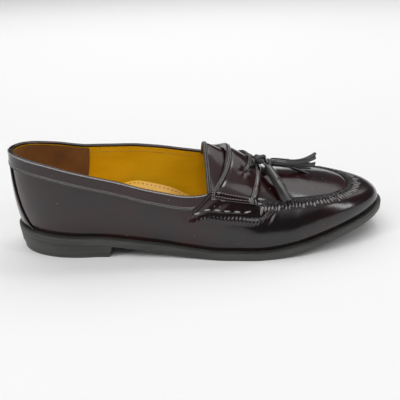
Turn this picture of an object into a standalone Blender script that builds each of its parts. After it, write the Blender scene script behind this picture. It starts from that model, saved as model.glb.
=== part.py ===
"""Tassel loafer for the right foot, built piece by piece over one last.

Blender 4.5, metres, +Z up, +X toward the toe, outer (lateral) side at -Y.
The origin lies on the floor under the middle of the shoe.
"""

from bisect import bisect_right
from math import asin, cos, pi, sin

import bmesh
import bpy
import numpy as np
from mathutils import Vector

# Driving dimensions of the shoe
SHOE_LENGTH = 0.305
BALL_WIDTH = 0.105
HEEL_WIDTH = 0.069
HEEL_LENGTH = 0.078
HEEL_HEIGHT = 0.0148
TOE_SPRING = 0.018
TOE_SWING = 0.004
SOLE_THICKNESS = 0.007
COLLAR_HEIGHT = 0.062
INSTEP_CROWN = 0.0255

# Walls, edges and clearances
UPPER_WALL = 0.002
GAP = 0.0003
OVERLAY_GAP = 0.0005
EDGE_ROUND = 0.0006
FEATHER_INSET = 0.0036
HEEL_TAPER = 0.0018
BREAST_HOLLOW = 0.0015
INSOLE_THICKNESS = 0.003
INSOLE_CLEARANCE = 0.0005

# Throat, seam and the overlays
THROAT_PLACE = 0.515
RIB_BOW = 0.015
TONGUE_REACH = 0.0025
TONGUE_TUCK = 0.026
TONGUE_SPREAD = 0.93
TONGUE_THICKNESS = 0.0016
SEAM_RAISE = 0.0012
SEAM_WIDTH = 0.005
STRAP_WIDTH = 0.034
STRAP_THICKNESS = 0.0014
STRAP_RIB = 0.0012
STRAP_RIB_WIDTH = 0.003
STRAP_BORDER = 0.0006
STRAP_BORDER_WIDTH = 0.004
STRAP_OVER = 0.0035
STRAP_CLIMB = 0.010
WING_THICKNESS = 0.0013
WING_DROP_REAR = 0.0165
WING_DROP_FRONT = 0.0115
WING_LENGTH = 0.040
WING_RAKE = 0.0145
WING_CORNER = 0.0025
WING_SEAT = 0.0004
BAND_THICKNESS = 0.0012
BAND_HEIGHT = 0.0115
BAND_CLEARANCE = 0.002
BACK_STRIP_THICKNESS = 0.0012
BACK_STRIP_TOP = 0.008
BACK_STRIP_FOOT = 0.023
BACK_STRIP_FLARE = 0.6
BACK_STRIP_LOW = 0.0003
ARCH_PAD_HEIGHT = 0.022

# Lace, knot and tassels
LACE_WIDTH = 0.0036
LACE_THICKNESS = 0.0015
LACE_PLACE = 0.0165
EYELET_SPREAD = 0.018
EYELET_DIAMETER = 0.0034
LACE_DRAW = 0.005
LACE_END_DIAMETER = 0.0026
KNOT_LENGTH = 0.011
KNOT_HEIGHT = 0.0062
KNOT_RUN = 0.0405
KNOT_ACROSS = -0.08
KNOT_WIDTH = 0.0095
TASSEL_HEAD_DIAMETER = 0.0074
TASSEL_HEAD_LENGTH = 0.0145
TASSEL_STRIPS = 8
STRIP_WIDTH = 0.0021
STRIP_THICKNESS = 0.0013

# Where the rounded heel and toe of each outline begin, as shares of the length
SOLE_HEEL_CAP = 0.19
SOLE_TOE_CAP = 0.30
TOP_BACK = 0.012
TOP_HEEL_CAP = 0.20
TOP_TOE_CAP = 0.17
APRON_TIP = 0.91
TOE_ROUNDNESS = 0.92
RIDGE_SOFTNESS = 0.004

# Columns of the meshes along the shoe and rows across it
HEEL_COLUMNS = 8
QUARTER_COLUMNS = 12
VAMP_COLUMNS = 8
TOE_COLUMNS = 11
WALL_ROWS = (0.0, 0.10, 0.24, 0.40, 0.56, 0.72)


def tangents(x, y):
    """Slopes at each row that keep a cubic through the rows from overshooting."""
    width, slope = np.diff(x), np.diff(y) / np.diff(x)
    found = [0.0] * len(x)
    for i in range(1, len(x) - 1):
        if slope[i - 1] * slope[i] > 0:
            before, after = 2 * width[i] + width[i - 1], width[i] + 2 * width[i - 1]
            found[i] = (before + after) / (before / slope[i - 1] + after / slope[i])
    return found


def table(columns, *rows):
    """A short table: its first column is a station, as a share of the shoe's length."""
    stations = [row[0] for row in rows]
    read = {}
    for i, name in enumerate(columns.split()):
        values = [row[i] for row in rows]
        read[name] = (stations, values, tangents(np.array(stations), np.array(values)))
    return read


# Half widths of the sole, as shares of the width at each station
SOLE_PLAN = table(
    "station lateral medial",
    (0.00, 0.500, 0.490),
    (0.20, 0.503, 0.490),
    (0.30, 0.525, 0.435),
    (0.40, 0.477, 0.333),
    (0.48, 0.456, 0.318),
    (0.56, 0.474, 0.371),
    (0.64, 0.500, 0.450),
    (0.72, 0.497, 0.488),
    (0.80, 0.480, 0.484),
    (0.90, 0.455, 0.460),
    (1.00, 0.440, 0.445),
)

# Underside of the sole above the floor: shares of heel height and of toe spring
SOLE_RISE = table(
    "station heel toe",
    (0.000, 1.00, 0.00),
    (0.120, 0.86, 0.00),
    (0.255, 0.68, 0.00),
    (0.310, 0.56, 0.00),
    (0.380, 0.37, 0.00),
    (0.465, 0.11, 0.00),
    (0.525, 0.00, 0.00),
    (0.650, 0.00, 0.00),
    (0.720, 0.00, 0.14),
    (0.840, 0.00, 0.52),
    (0.910, 0.00, 0.74),
    (1.000, 0.00, 1.00),
)

# Top line of the wall: the collar behind the throat, and the apron's seam before it
TOP_LINE = table(
    "station lateral medial lateral_height medial_height",
    (0.000, 0.460, 0.460, 1.000, 1.000),
    (0.100, 0.460, 0.460, 0.963, 0.930),
    (0.190, 0.462, 0.465, 0.876, 0.862),
    (0.250, 0.466, 0.475, 0.811, 0.868),
    (0.315, 0.466, 0.466, 0.758, 0.884),
    (0.380, 0.425, 0.420, 0.705, 0.886),
    (0.440, 0.395, 0.380, 0.690, 0.877),
    (0.485, 0.377, 0.360, 0.712, 0.862),
    (0.515, 0.367, 0.352, 0.752, 0.850),
    (0.560, 0.367, 0.355, 0.700, 0.762),
    (0.600, 0.365, 0.355, 0.645, 0.682),
    (0.650, 0.350, 0.345, 0.565, 0.590),
    (0.700, 0.338, 0.335, 0.524, 0.530),
    (0.780, 0.332, 0.330, 0.460, 0.465),
    (0.850, 0.330, 0.330, 0.388, 0.388),
    (0.910, 0.330, 0.330, 0.325, 0.325),
)

# Rise of the apron's ridge over its seam, as a share of the instep crown
APRON_CROWN = table(
    "station crown roundness",
    (0.480, 1.030, 1.60),
    (0.515, 1.000, 1.60),
    (0.564, 0.910, 1.62),
    (0.613, 0.776, 1.66),
    (0.669, 0.560, 1.74),
    (0.721, 0.400, 1.85),
    (0.787, 0.280, 1.95),
    (0.852, 0.170, 2.00),
    (0.885, 0.105, 2.00),
    (0.910, 0.000, 2.00),
)

# Fullness of the side wall: handles low and high, out as shares of the ball width
# and up as shares of the wall's height
WALL_FULLNESS = table(
    "station low_out low_up high_out high_up",
    (0.00, 0.030, 0.34, 0.022, -0.30),
    (0.20, 0.042, 0.34, 0.018, -0.30),
    (0.40, 0.046, 0.34, 0.022, -0.28),
    (0.52, 0.048, 0.36, 0.034, -0.25),
    (0.62, 0.050, 0.40, 0.066, -0.16),
    (0.74, 0.050, 0.44, 0.080, -0.08),
    (0.88, 0.046, 0.48, 0.085, 0.00),
    (1.00, 0.032, 0.72, 0.095, 0.06),
)

HANDLES = ("low_out", "low_up", "high_out", "high_up")

# Arch pad of the insole on the inner side, as a share of its height
ARCH_PAD = table(
    "station height",
    (0.19, 0.00),
    (0.25, 0.62),
    (0.33, 1.00),
    (0.40, 0.90),
    (0.47, 0.50),
    (0.54, 0.00),
)

LATERAL, MEDIAL = -1, 1
SIDE_NAME = {LATERAL: "lateral", MEDIAL: "medial"}


def smooth(rows, column, at):
    """Monotone cubic reading of one column of a table."""
    x, y, tangent = rows[column]
    at = min(max(at, x[0]), x[-1])
    i = min(bisect_right(x, at) - 1, len(x) - 2)
    width = x[i + 1] - x[i]
    t = (at - x[i]) / width
    flat = y[i] * (1 + 2 * t) * (1 - t) ** 2 + y[i + 1] * t * t * (3 - 2 * t)
    return flat + width * t * (1 - t) * (tangent[i] * (1 - t) - tangent[i + 1] * t)


def ease(t):
    """0 to 1 with level ends."""
    t = min(max(t, 0.0), 1.0)
    return t * t * (3 - 2 * t)


def mix(a, b, t):
    return a + (b - a) * t


def width_at(station):
    """The width that a station's shares are taken of: heel width behind, ball width before."""
    return mix(HEEL_WIDTH, BALL_WIDTH, ease((station - 0.25) / 0.31))


def centre_at(station):
    """The middle line, which swings to the inner side toward the toe."""
    return TOE_SWING * ease((station - 0.55) / 0.45)


def rise_at(x):
    """Height of the sole's underside."""
    station = x / SHOE_LENGTH
    heel = HEEL_HEIGHT * smooth(SOLE_RISE, "heel", station)
    return heel + TOE_SPRING * smooth(SOLE_RISE, "toe", station)


def sole_top_at(x):
    return rise_at(x) + SOLE_THICKNESS


# An outline runs from the middle of the heel (0) by the heel's corner (1) and the ball (2)
# to the middle of the toe (3)
def place_along(around, back, heel_cap, front, toe_cap):
    """The x of a place on an outline and the share of its full half width there."""
    if around <= 1:
        angle = around * pi / 2
        return back + heel_cap * (1 - cos(angle)), sin(angle)
    if around <= 2:
        return mix(back + heel_cap, front - toe_cap, around - 1), 1.0
    angle = (around - 2) * pi / 2
    return front - toe_cap * (1 - sin(angle)), max(cos(angle), 0.0) ** TOE_ROUNDNESS


def sole_edge(side, around):
    """A point of the sole's outline, seen from above."""
    share, cap = place_along(around, 0.0, SOLE_HEEL_CAP, 1.0, SOLE_TOE_CAP)
    half = smooth(SOLE_PLAN, SIDE_NAME[side], share) * width_at(share) * cap
    return np.array([share * SHOE_LENGTH, centre_at(share) + side * half])


def edge_normal(side, around):
    """The outward direction of the sole's outline."""
    step = 1e-3
    if around < step:
        return np.array([-1.0, 0.0])
    if around > 3 - step:
        return np.array([1.0, 0.0])
    along = sole_edge(side, around + step) - sole_edge(side, around - step)
    along /= np.linalg.norm(along)
    return np.array([-side * along[1], side * along[0]])


def inset_edge(side, around, inset):
    return sole_edge(side, around) - inset * edge_normal(side, around)


def seam_half(side, share):
    """Half width of the collar or of the apron, without its rounded ends."""
    return smooth(TOP_LINE, SIDE_NAME[side], share) * width_at(share)


def seam_height(side, share):
    lift = COLLAR_HEIGHT * smooth(TOP_LINE, SIDE_NAME[side] + "_height", share)
    return sole_top_at(share * SHOE_LENGTH) + lift


def top_place(around):
    return place_along(around, TOP_BACK, TOP_HEEL_CAP, APRON_TIP, TOP_TOE_CAP)


def top_edge(side, around):
    """A point of the collar, or before the throat of the apron's seam."""
    share, cap = top_place(around)
    half = seam_half(side, share) * cap
    return np.array([share * SHOE_LENGTH, centre_at(share) + side * half, seam_height(side, share)])


def wall_point(side, around, up):
    """The last's side, from the feather edge (0) to the top line (1)."""
    foot_plan = inset_edge(side, around, FEATHER_INSET)
    foot = np.array([*foot_plan, sole_top_at(foot_plan[0]) + GAP])
    top = top_edge(side, around)
    out = np.array([*edge_normal(side, around), 0.0])
    lift = np.array([0.0, 0.0, top[2] - foot[2]])
    at = foot_plan[0] / SHOE_LENGTH
    low_out, low_up, high_out, high_up = (smooth(WALL_FULLNESS, name, at) for name in HANDLES)
    low = foot + out * low_out * BALL_WIDTH + lift * low_up
    high = top + out * high_out * BALL_WIDTH + lift * high_up
    down = 1 - up
    return foot * down**3 + 3 * low * down**2 * up + 3 * high * down * up**2 + top * up**3


def wall_length(side, around):
    """Length of the side wall from feather edge to top line."""
    points = [wall_point(side, around, k / 8) for k in range(9)]
    return sum(np.linalg.norm(b - a) for a, b in zip(points, points[1:]))


def apron_height(share, across):
    """Height of the apron where across runs from one seam (-1) to the other (1)."""
    base = mix(seam_height(LATERAL, share), seam_height(MEDIAL, share), (1 + across) / 2)
    power = smooth(APRON_CROWN, "roundness", share) / 2
    fall = (across**2 + RIDGE_SOFTNESS) ** power - RIDGE_SOFTNESS**power
    fall /= (1 + RIDGE_SOFTNESS) ** power - RIDGE_SOFTNESS**power
    return base + INSTEP_CROWN * smooth(APRON_CROWN, "crown", share) * (1 - fall)


def apron_point(around, across):
    """The last's top over the vamp, from the lateral seam (-1) to the medial one (1)."""
    side = LATERAL if across < 0 else MEDIAL
    share, cap = top_place(around)
    fade = ease((share - THROAT_PLACE) / (APRON_TIP - THROAT_PLACE - TOP_TOE_CAP))
    at = share + RIB_BOW / SHOE_LENGTH * (1 - abs(across) ** 2.5) * (1 - fade)
    y = centre_at(share) + across * seam_half(side, share) * cap
    nearness = across * seam_half(side, share) / seam_half(side, at)
    return np.array([at * SHOE_LENGTH, y, apron_height(at, nearness)])


def wall_lifted(side, around, up, lift):
    """A point of the side wall moved out along its normal."""
    step = 1e-3
    a = min(max(around, step), 3 - step)
    b = min(max(up, step), 1 - step)
    along_a = wall_point(side, a + step, b) - wall_point(side, a - step, b)
    along_b = wall_point(side, a, b + step) - wall_point(side, a, b - step)
    normal = np.cross(along_a, along_b) * -side
    if around < step or around > 3 - step:
        normal[1] = 0
    return wall_point(side, around, up) + lift * normal / np.linalg.norm(normal)


def apron_lifted(around, across, lift):
    """A point of the apron moved up along its normal."""
    step = 1e-3
    along = apron_point(around + step, across) - apron_point(around - step, across)
    b = min(max(across, step - 1), 1 - step)
    over = apron_point(around, b + step) - apron_point(around, b - step)
    normal = np.cross(along, over)
    return apron_point(around, across) + lift * normal / np.linalg.norm(normal)


def around_at(share):
    """The place on the top line's straight run at a share of the shoe's length."""
    start, end = TOP_BACK + TOP_HEEL_CAP, APRON_TIP - TOP_TOE_CAP
    return 1 + (share - start) / (end - start)


THROAT_AROUND = around_at(THROAT_PLACE)


def spaced(start, end, count):
    """Count + 1 even steps from start to end."""
    return [mix(start, end, i / count) for i in range(count + 1)]


def outline_columns():
    """Places from heel to toe at which every section of the shoe is drawn."""
    return (
        spaced(0, 1, HEEL_COLUMNS)
        + spaced(1, THROAT_AROUND, QUARTER_COLUMNS)[1:]
        + spaced(THROAT_AROUND, 2, VAMP_COLUMNS)[1:]
        + spaced(2, 3, TOE_COLUMNS)[1:]
    )


# Meshes and materials
def material(name, colour, roughness, metallic=0.0):
    """A plain finish for one kind of piece."""
    made = bpy.data.materials.get(name) or bpy.data.materials.new(name)
    made.use_nodes = True
    shader = made.node_tree.nodes["Principled BSDF"]
    shader.inputs["Base Color"].default_value = (*colour, 1.0)
    shader.inputs["Roughness"].default_value = roughness
    shader.inputs["Metallic"].default_value = metallic
    return made


BURGUNDY = ("polished burgundy leather", (0.030, 0.012, 0.014), 0.22)
BLACK_BROWN = ("black brown leather", (0.018, 0.012, 0.011), 0.35)
SOLE_BLACK = ("satin black sole", (0.045, 0.043, 0.040), 0.45)
MUSTARD = ("mustard lining leather", (0.48, 0.24, 0.02), 0.55)


def reach(side):
    """The sole's greatest half width on one side."""
    return max(side * sole_edge(side, around)[1] for around in spaced(1, 3, 80))


MIDDLE = Vector((SHOE_LENGTH / 2, (reach(MEDIAL) - reach(LATERAL)) / 2, 0.0))


def centred(point):
    """From heel-based places to the frame with its origin under the middle of the shoe."""
    return Vector(point) - MIDDLE


def finish(name, bm, look):
    """One object from a closed body, with faces outward, smooth but for its sharp edges."""
    bmesh.ops.remove_doubles(bm, verts=bm.verts, dist=1e-6)
    bmesh.ops.dissolve_degenerate(bm, edges=bm.edges, dist=1e-7)
    bmesh.ops.recalc_face_normals(bm, faces=bm.faces)
    mesh = bpy.data.meshes.new(name)
    bm.to_mesh(mesh)
    bm.free()
    mesh.shade_smooth()
    mesh.set_sharp_from_angle(angle=pi / 4)
    mesh.materials.append(material(*look))
    made = bpy.data.objects.new(name, mesh)
    bpy.context.scene.collection.objects.link(made)
    return made


def add_grid(bm, rows, loop=False):
    """Faces over a grid of points, its rows joined end to end if it is a loop."""
    made = [[bm.verts.new(centred(point)) for point in row] for row in rows]
    pairs = list(zip(made, made[1:]))
    if loop:
        pairs.append((made[-1], made[0]))
    for first, second in pairs:
        for i in range(len(first) - 1):
            bm.faces.new((first[i], first[i + 1], second[i + 1], second[i]))
    return made


def sheet_body(name, outer, inner, look):
    """A closed piece between two grids of points that match, rimmed all round."""
    bm = bmesh.new()
    add_grid(bm, outer)
    add_grid(bm, inner)
    for rim in (0, -1):
        add_grid(bm, [outer[rim], inner[rim]])
        add_grid(bm, [[row[rim] for row in outer], [row[rim] for row in inner]])
    return finish(name, bm, look)


# The sole and what stands on it
def sole_cross(around, inset, height):
    """Points across the shoe at one place of its outline, at a height above the underside."""
    left, right = (inset_edge(side, around, inset) for side in (LATERAL, MEDIAL))
    points = [mix(left, right, t) for t in (0.0, 0.2, 0.5, 0.8, 1.0)]
    return [np.array([*point, rise_at(point[0]) + height]) for point in points]


def outsole():
    """The whole sole's edge and face, turned up at the waist and the toe."""
    columns = outline_columns()
    layers = (
        (EDGE_ROUND, 0.0),
        (0.0, EDGE_ROUND),
        (0.0, SOLE_THICKNESS - EDGE_ROUND),
        (EDGE_ROUND, SOLE_THICKNESS),
    )
    bm = bmesh.new()
    for inset, height in (layers[0], layers[-1]):
        add_grid(bm, [sole_cross(a, inset, height) for a in columns])
    for end in (0, -1):
        edge = [[sole_cross(a, *layer)[end] for layer in layers] for a in columns]
        add_grid(bm, edge)
    return finish("outsole", bm, SOLE_BLACK)


def heel_columns():
    """Places of the outline from the back of the heel to its breast."""
    breast = 1 + (HEEL_LENGTH / SHOE_LENGTH - SOLE_HEEL_CAP) / (1 - SOLE_TOE_CAP - SOLE_HEEL_CAP)
    return spaced(0, 1, HEEL_COLUMNS) + spaced(1, breast, 2)[1:]


def heel_cross(around, inset, top):
    """Points across the heel at one place, on its face on the floor or under the sole."""
    left, right = (inset_edge(side, around, inset) for side in (LATERAL, MEDIAL))
    points = []
    for t in (0.0, 0.2, 0.5, 0.8, 1.0):
        x, y = mix(left, right, t)
        if around == heel_columns()[-1]:
            x -= BREAST_HOLLOW * (1 - (2 * t - 1) ** 2)
        points.append(np.array([x, y, rise_at(x) - GAP if top else 0.0]))
    return points


def heel():
    """The heel block, flat on the floor, its top cut to the sole."""
    columns = heel_columns()
    bottom = [heel_cross(a, HEEL_TAPER, False) for a in columns]
    top = [heel_cross(a, EDGE_ROUND, True) for a in columns]
    return sheet_body("heel", top, bottom, SOLE_BLACK)


def insole_cross(around, height, pad):
    """Points across the insole, with the arch pad rising against the inner wall."""
    inset = FEATHER_INSET + UPPER_WALL + INSOLE_CLEARANCE
    left, right = (inset_edge(side, around, inset) for side in (LATERAL, MEDIAL))
    rise = ARCH_PAD_HEIGHT * smooth(ARCH_PAD, "height", mix(left, right, 0.5)[0] / SHOE_LENGTH)
    points = []
    for t in (0.0, 0.15, 0.35, 0.55, 0.70, 0.80, 0.88, 0.95, 1.0):
        x, y = mix(left, right, t)
        z = sole_top_at(x) + GAP + height
        if pad:
            z += rise * ease((t - 0.5) / 0.5)
        points.append(np.array([x, y, z]))
    return points


def insole():
    """The inner sole with its arch pad."""
    columns = outline_columns()
    bottom = [insole_cross(a, 0.0, False) for a in columns]
    top = [insole_cross(a, INSOLE_THICKNESS, True) for a in columns]
    return sheet_body("insole", top, bottom, MUSTARD)


# The upper
def seam_raise(around, distance):
    """How far the hand-sewn seam stands up from the wall at a distance from it."""
    share = top_place(around)[0]
    start = THROAT_PLACE + (STRAP_WIDTH + RIB_BOW) / SHOE_LENGTH
    fade = ease((share - start + 0.02) / 0.02)
    return SEAM_RAISE * fade * ease(2 - 2 * distance / SEAM_WIDTH)


def wall_column(side, around, lift):
    """One section of the upper's side, with the seam's step near its top."""
    length = wall_length(side, around)
    near = [1 - SEAM_WIDTH / length, 1 - SEAM_WIDTH / 2 / length, 1.0]
    points = []
    for up in [*WALL_ROWS, *near]:
        raised = seam_raise(around, (1 - up) * length) if lift == 0 else 0.0
        points.append(wall_lifted(side, around, up, lift + raised))
    return points


ACROSS = (-1.0, -0.96, -0.86, -0.7, -0.5, -0.3, -0.12, 0.0, 0.12, 0.3, 0.5, 0.7, 0.86, 0.96, 1.0)


def apron_row(around, lift):
    """One line across the apron, its ends shared with the side walls."""
    ends = [wall_column(side, around, lift)[-1] for side in (LATERAL, MEDIAL)]
    cap = top_place(around)[1]
    inner = []
    for across in ACROSS[1:-1]:
        side = LATERAL if across < 0 else MEDIAL
        distance = (1 - abs(across)) * seam_half(side, top_place(around)[0]) * cap
        raised = seam_raise(around, distance) if lift == 0 else 0.0
        inner.append(apron_lifted(around, across, lift + raised))
    return [ends[0], *inner, ends[1]]


def upper():
    """The hollow upper: side walls all round, and the apron before the throat."""
    columns = outline_columns()
    loop = [(LATERAL, a) for a in columns] + [(MEDIAL, a) for a in reversed(columns[1:-1])]
    apron = [a for a in columns if a >= THROAT_AROUND and a < 3]
    skins = []
    for lift in (0.0, -UPPER_WALL):
        wall = [wall_column(side, a, lift) for side, a in loop]
        tip = wall_column(LATERAL, 3, lift)[-1]
        top = [apron_row(a, lift) for a in apron] + [[tip] * len(ACROSS)]
        skins.append((wall, top))
    bm = bmesh.new()
    for wall, top in skins:
        add_grid(bm, wall, loop=True)
        add_grid(bm, top)
    (wall, top), (wall_in, top_in) = skins
    add_grid(bm, [[column[0], inside[0]] for column, inside in zip(wall, wall_in)], loop=True)
    add_grid(bm, [top[0], top_in[0]])
    open_top = [i for i, (_, a) in enumerate(loop) if a <= THROAT_AROUND]
    lateral = [i for i in open_top if loop[i][0] == LATERAL]
    medial = [i for i in open_top if loop[i][0] == MEDIAL] + [0]
    for run in (lateral, medial):
        add_grid(bm, [[wall[i][-1], wall_in[i][-1]] for i in run])
    return finish("upper", bm, BURGUNDY)


def instep_point(run, across):
    """The apron's own surface carried back over the throat, at a distance forward of it."""
    side = LATERAL if across < 0 else MEDIAL
    share = THROAT_PLACE + run / SHOE_LENGTH
    y = centre_at(share) + across * seam_half(side, share)
    return np.array([share * SHOE_LENGTH, y, apron_height(share, across)])


def instep_lifted(run, across, lift):
    """A point of the instep moved up along its normal."""
    step = 1e-3
    along = instep_point(run + step, across) - instep_point(run - step, across)
    over = instep_point(run, across + step) - instep_point(run, across - step)
    normal = np.cross(along, over)
    return instep_point(run, across) + lift * normal / np.linalg.norm(normal)


def tongue():
    """The throat piece under the strap, whose back edge stands up at the instep."""
    spread = [TONGUE_SPREAD * across for across in ACROSS]
    skins = []
    for depth in (UPPER_WALL + 2 * GAP, UPPER_WALL + 2 * GAP + TONGUE_THICKNESS):
        runs = spaced(-TONGUE_REACH, TONGUE_TUCK, 6)
        skins.append([[instep_lifted(run, across, -depth) for across in spread] for run in runs])
    return sheet_body("tongue", skins[0], skins[1], BURGUNDY)


# Overlays cut from the same surfaces
def saddle_lifted(around, across, lift):
    """A point over the apron, or beyond its seam (across past 1) over the side wall."""
    if abs(across) <= 1:
        return apron_lifted(around, across, lift)
    side = LATERAL if across < 0 else MEDIAL
    down = (abs(across) - 1) * seam_half(side, top_place(around)[0])
    return wall_lifted(side, around, 1 - down / wall_length(side, around), lift)


def strap_lift(around, across):
    """The strap's seat, which climbs at its ends over the wings."""
    side = LATERAL if across < 0 else MEDIAL
    short = (1 - abs(across)) * seam_half(side, top_place(around)[0])
    climb = WING_THICKNESS + 3 * GAP
    return OVERLAY_GAP + climb * ease(1 - short / STRAP_CLIMB)


def strap():
    """The saddle over the instep, thick along its back rib and folded along its front."""
    over = 1 + STRAP_OVER / seam_half(LATERAL, THROAT_PLACE)
    climb = 1 - STRAP_CLIMB / seam_half(LATERAL, THROAT_PLACE)
    runs = spaced(-climb, climb, 14)
    runs = [-over, -1.0, *spaced(-1.0, -climb, 3)[1:-1], *runs, *spaced(climb, 1.0, 3)[1:-1], 1.0, over]
    edges = (
        (0.0, STRAP_RIB),
        (STRAP_RIB_WIDTH * 0.5, STRAP_RIB),
        (STRAP_RIB_WIDTH, 0.0),
        (STRAP_WIDTH * 0.5, 0.0),
        (STRAP_WIDTH - STRAP_BORDER_WIDTH, 0.0),
        (STRAP_WIDTH - STRAP_BORDER_WIDTH * 0.8, STRAP_BORDER),
        (STRAP_WIDTH, STRAP_BORDER),
    )
    outer, inner = [], []
    for run, extra in edges:
        around = around_at(THROAT_PLACE + run / SHOE_LENGTH)
        seats = [strap_lift(around, across) for across in runs]
        inner.append([saddle_lifted(around, *at) for at in zip(runs, seats)])
        thick = STRAP_THICKNESS + extra
        outer.append([saddle_lifted(around, across, seat + thick) for across, seat in zip(runs, seats)])
    return sheet_body("strap", outer, inner, BURGUNDY)


# Places along a wing, close together at its rounded corners
WING_PLACES = (0.0, 0.03, 0.07, 0.10, 0.20, 0.35, 0.50, 0.65, 0.80, 0.90, 0.93, 0.97, 1.0)


def wing(side):
    """One lower end of the saddle, on the side wall under the strap."""
    skins = []
    for lift in (OVERLAY_GAP + WING_THICKNESS, OVERLAY_GAP):
        skin = []
        for p in WING_PLACES:
            corner = max(0.0, 1 - 10 * p) ** 2 + max(0.0, 10 * p - 9) ** 2
            drop = mix(WING_DROP_REAR, WING_DROP_FRONT, p) - WING_CORNER * corner
            column = []
            for q in spaced(0, 1, 4):
                rake = mix(WING_RAKE * drop / WING_DROP_REAR, 0.0, q)
                around = around_at(THROAT_PLACE + (p * WING_LENGTH - rake) / SHOE_LENGTH)
                down = WING_SEAT + drop * (1 - q)
                column.append(wall_lifted(side, around, 1 - down / wall_length(side, around), lift))
            skin.append(column)
        skins.append(skin)
    return sheet_body("wing_" + SIDE_NAME[side], skins[0], skins[1], BURGUNDY)


def collar_band():
    """The band along the collar, from wing to wing around the heel."""
    skins = []
    for lift in (OVERLAY_GAP + BAND_THICKNESS, OVERLAY_GAP):
        skin = []
        for step in spaced(-1, 1, 48):
            side = LATERAL if step < 0 else MEDIAL
            column = []
            for q in spaced(0, 1, 2):
                rake = (1 - q) * WING_RAKE * BAND_HEIGHT / WING_DROP_REAR
                end = around_at(THROAT_PLACE - (BAND_CLEARANCE + rake) / SHOE_LENGTH)
                around = abs(step) * end
                up = 1 - BAND_HEIGHT * (1 - q) / wall_length(side, around)
                column.append(wall_lifted(side, around, up, lift))
            skin.append(column)
        skins.append(skin)
    return sheet_body("collar_band", skins[0], skins[1], BURGUNDY)


def back_strip():
    """The strip over the seam at the back of the heel, flared toward the sole."""
    skins = []
    for lift in (OVERLAY_GAP + BACK_STRIP_THICKNESS, OVERLAY_GAP):
        skin = []
        for across in spaced(-1, 1, 10):
            side = LATERAL if across < 0 else MEDIAL
            column = []
            for q in spaced(0, 1, 6):
                half = mix(BACK_STRIP_FOOT, BACK_STRIP_TOP, q**BACK_STRIP_FLARE)
                around = asin(half * abs(across) / (HEEL_WIDTH / 2)) * 2 / pi
                high = 1 - (BAND_HEIGHT + 2 * OVERLAY_GAP) / wall_length(side, around)
                low = BACK_STRIP_LOW / wall_length(side, around)
                column.append(wall_lifted(side, around, mix(low, high, q), lift))
            skin.append(column)
        skins.append(skin)
    return sheet_body("back_strip", skins[0], skins[1], BURGUNDY)


# Lace, knot and tassels
def lace_across(y):
    """The place across the apron of a distance from its ridge, at the lace."""
    return y / seam_half(LATERAL, THROAT_PLACE + LACE_PLACE / SHOE_LENGTH)


def eyelet_cutter(side):
    """A punch for one eyelet of the strap, square to its surface."""
    around = around_at(THROAT_PLACE + LACE_PLACE / SHOE_LENGTH)
    across = lace_across(side * EYELET_SPREAD)
    low = apron_lifted(around, across, -0.001)
    high = apron_lifted(around, across, 0.006)
    axis = Vector(high - low)
    bpy.ops.mesh.primitive_cylinder_add(
        vertices=12, radius=EYELET_DIAMETER / 2, depth=axis.length, location=centred((low + high) / 2)
    )
    punch = bpy.context.object
    punch.rotation_euler = axis.to_track_quat("Z", "Y").to_euler()
    punch.name = "eyelet_punch_" + SIDE_NAME[side]
    punch.hide_render = True
    punch.display_type = "WIRE"
    return punch


def cut_eyelets(piece):
    for side in (LATERAL, MEDIAL):
        cut = piece.modifiers.new("eyelet " + SIDE_NAME[side], "BOOLEAN")
        cut.operation = "DIFFERENCE"
        cut.object = eyelet_cutter(side)


def lace_bar():
    """The flat lace over the strap, from one eyelet to the other, drawn forward to the knot."""
    reach_y = EYELET_SPREAD - EYELET_DIAMETER / 2 - GAP
    outer, inner = [], []
    for edge in (-0.5, 0.5):
        low, high = [], []
        for t in spaced(-1, 1, 14):
            run = LACE_PLACE + LACE_DRAW * (1 - t * t) + edge * LACE_WIDTH
            around = around_at(THROAT_PLACE + run / SHOE_LENGTH)
            seat = OVERLAY_GAP + STRAP_THICKNESS + GAP
            across = lace_across(t * reach_y)
            low.append(apron_lifted(around, across, seat))
            high.append(apron_lifted(around, across, seat + LACE_THICKNESS))
        inner.append(low)
        outer.append(high)
    return sheet_body("lace_bar", outer, inner, BLACK_BROWN)


def over_vamp(run, across, lift):
    """A point over the ridge line's frame: forward of the throat, across, and up."""
    share = THROAT_PLACE + run / SHOE_LENGTH
    y = centre_at(share) + across * seam_half(LATERAL, share)
    return np.array([share * SHOE_LENGTH, y, apron_height(share, across) + lift])


def knot_frame():
    """The knot's middle and its directions along, across and square to the strap."""
    seat = over_vamp(KNOT_RUN, KNOT_ACROSS, 0.0)
    along = over_vamp(KNOT_RUN + 0.002, KNOT_ACROSS, 0.0) - seat
    over = over_vamp(KNOT_RUN, KNOT_ACROSS + 0.05, 0.0) - seat
    along /= np.linalg.norm(along)
    up = np.cross(along, over)
    up /= np.linalg.norm(up)
    lift = OVERLAY_GAP + STRAP_THICKNESS + STRAP_BORDER + KNOT_HEIGHT * 0.56 + GAP
    return seat + up * lift, along, np.cross(up, along), up


def knot():
    """The lace's knot: a flattened lump with its turns as low ridges."""
    bm = bmesh.new()
    bmesh.ops.create_uvsphere(bm, u_segments=18, v_segments=12, radius=0.5)
    middle, along, over, up = knot_frame()
    for vert in bm.verts:
        x, y, z = vert.co
        swell = 1 + 0.07 * cos(3 * np.arctan2(z, y) + 9 * x)
        offset = over * y * KNOT_WIDTH + up * z * KNOT_HEIGHT
        vert.co = centred(middle + along * x * KNOT_LENGTH + offset * swell)
    return finish("lace_knot", bm, BLACK_BROWN)


# Each tassel's axis: its neck and its tip over the vamp, and the spread of its strips
TASSELS = {
    LATERAL: {"neck": (0.0485, -0.34, 0.0072), "tip": (0.0590, -1.12, 0.0078)},
    MEDIAL: {"neck": (0.0545, 0.02, 0.0070), "tip": (0.0880, 0.18, 0.0052)},
}


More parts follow.
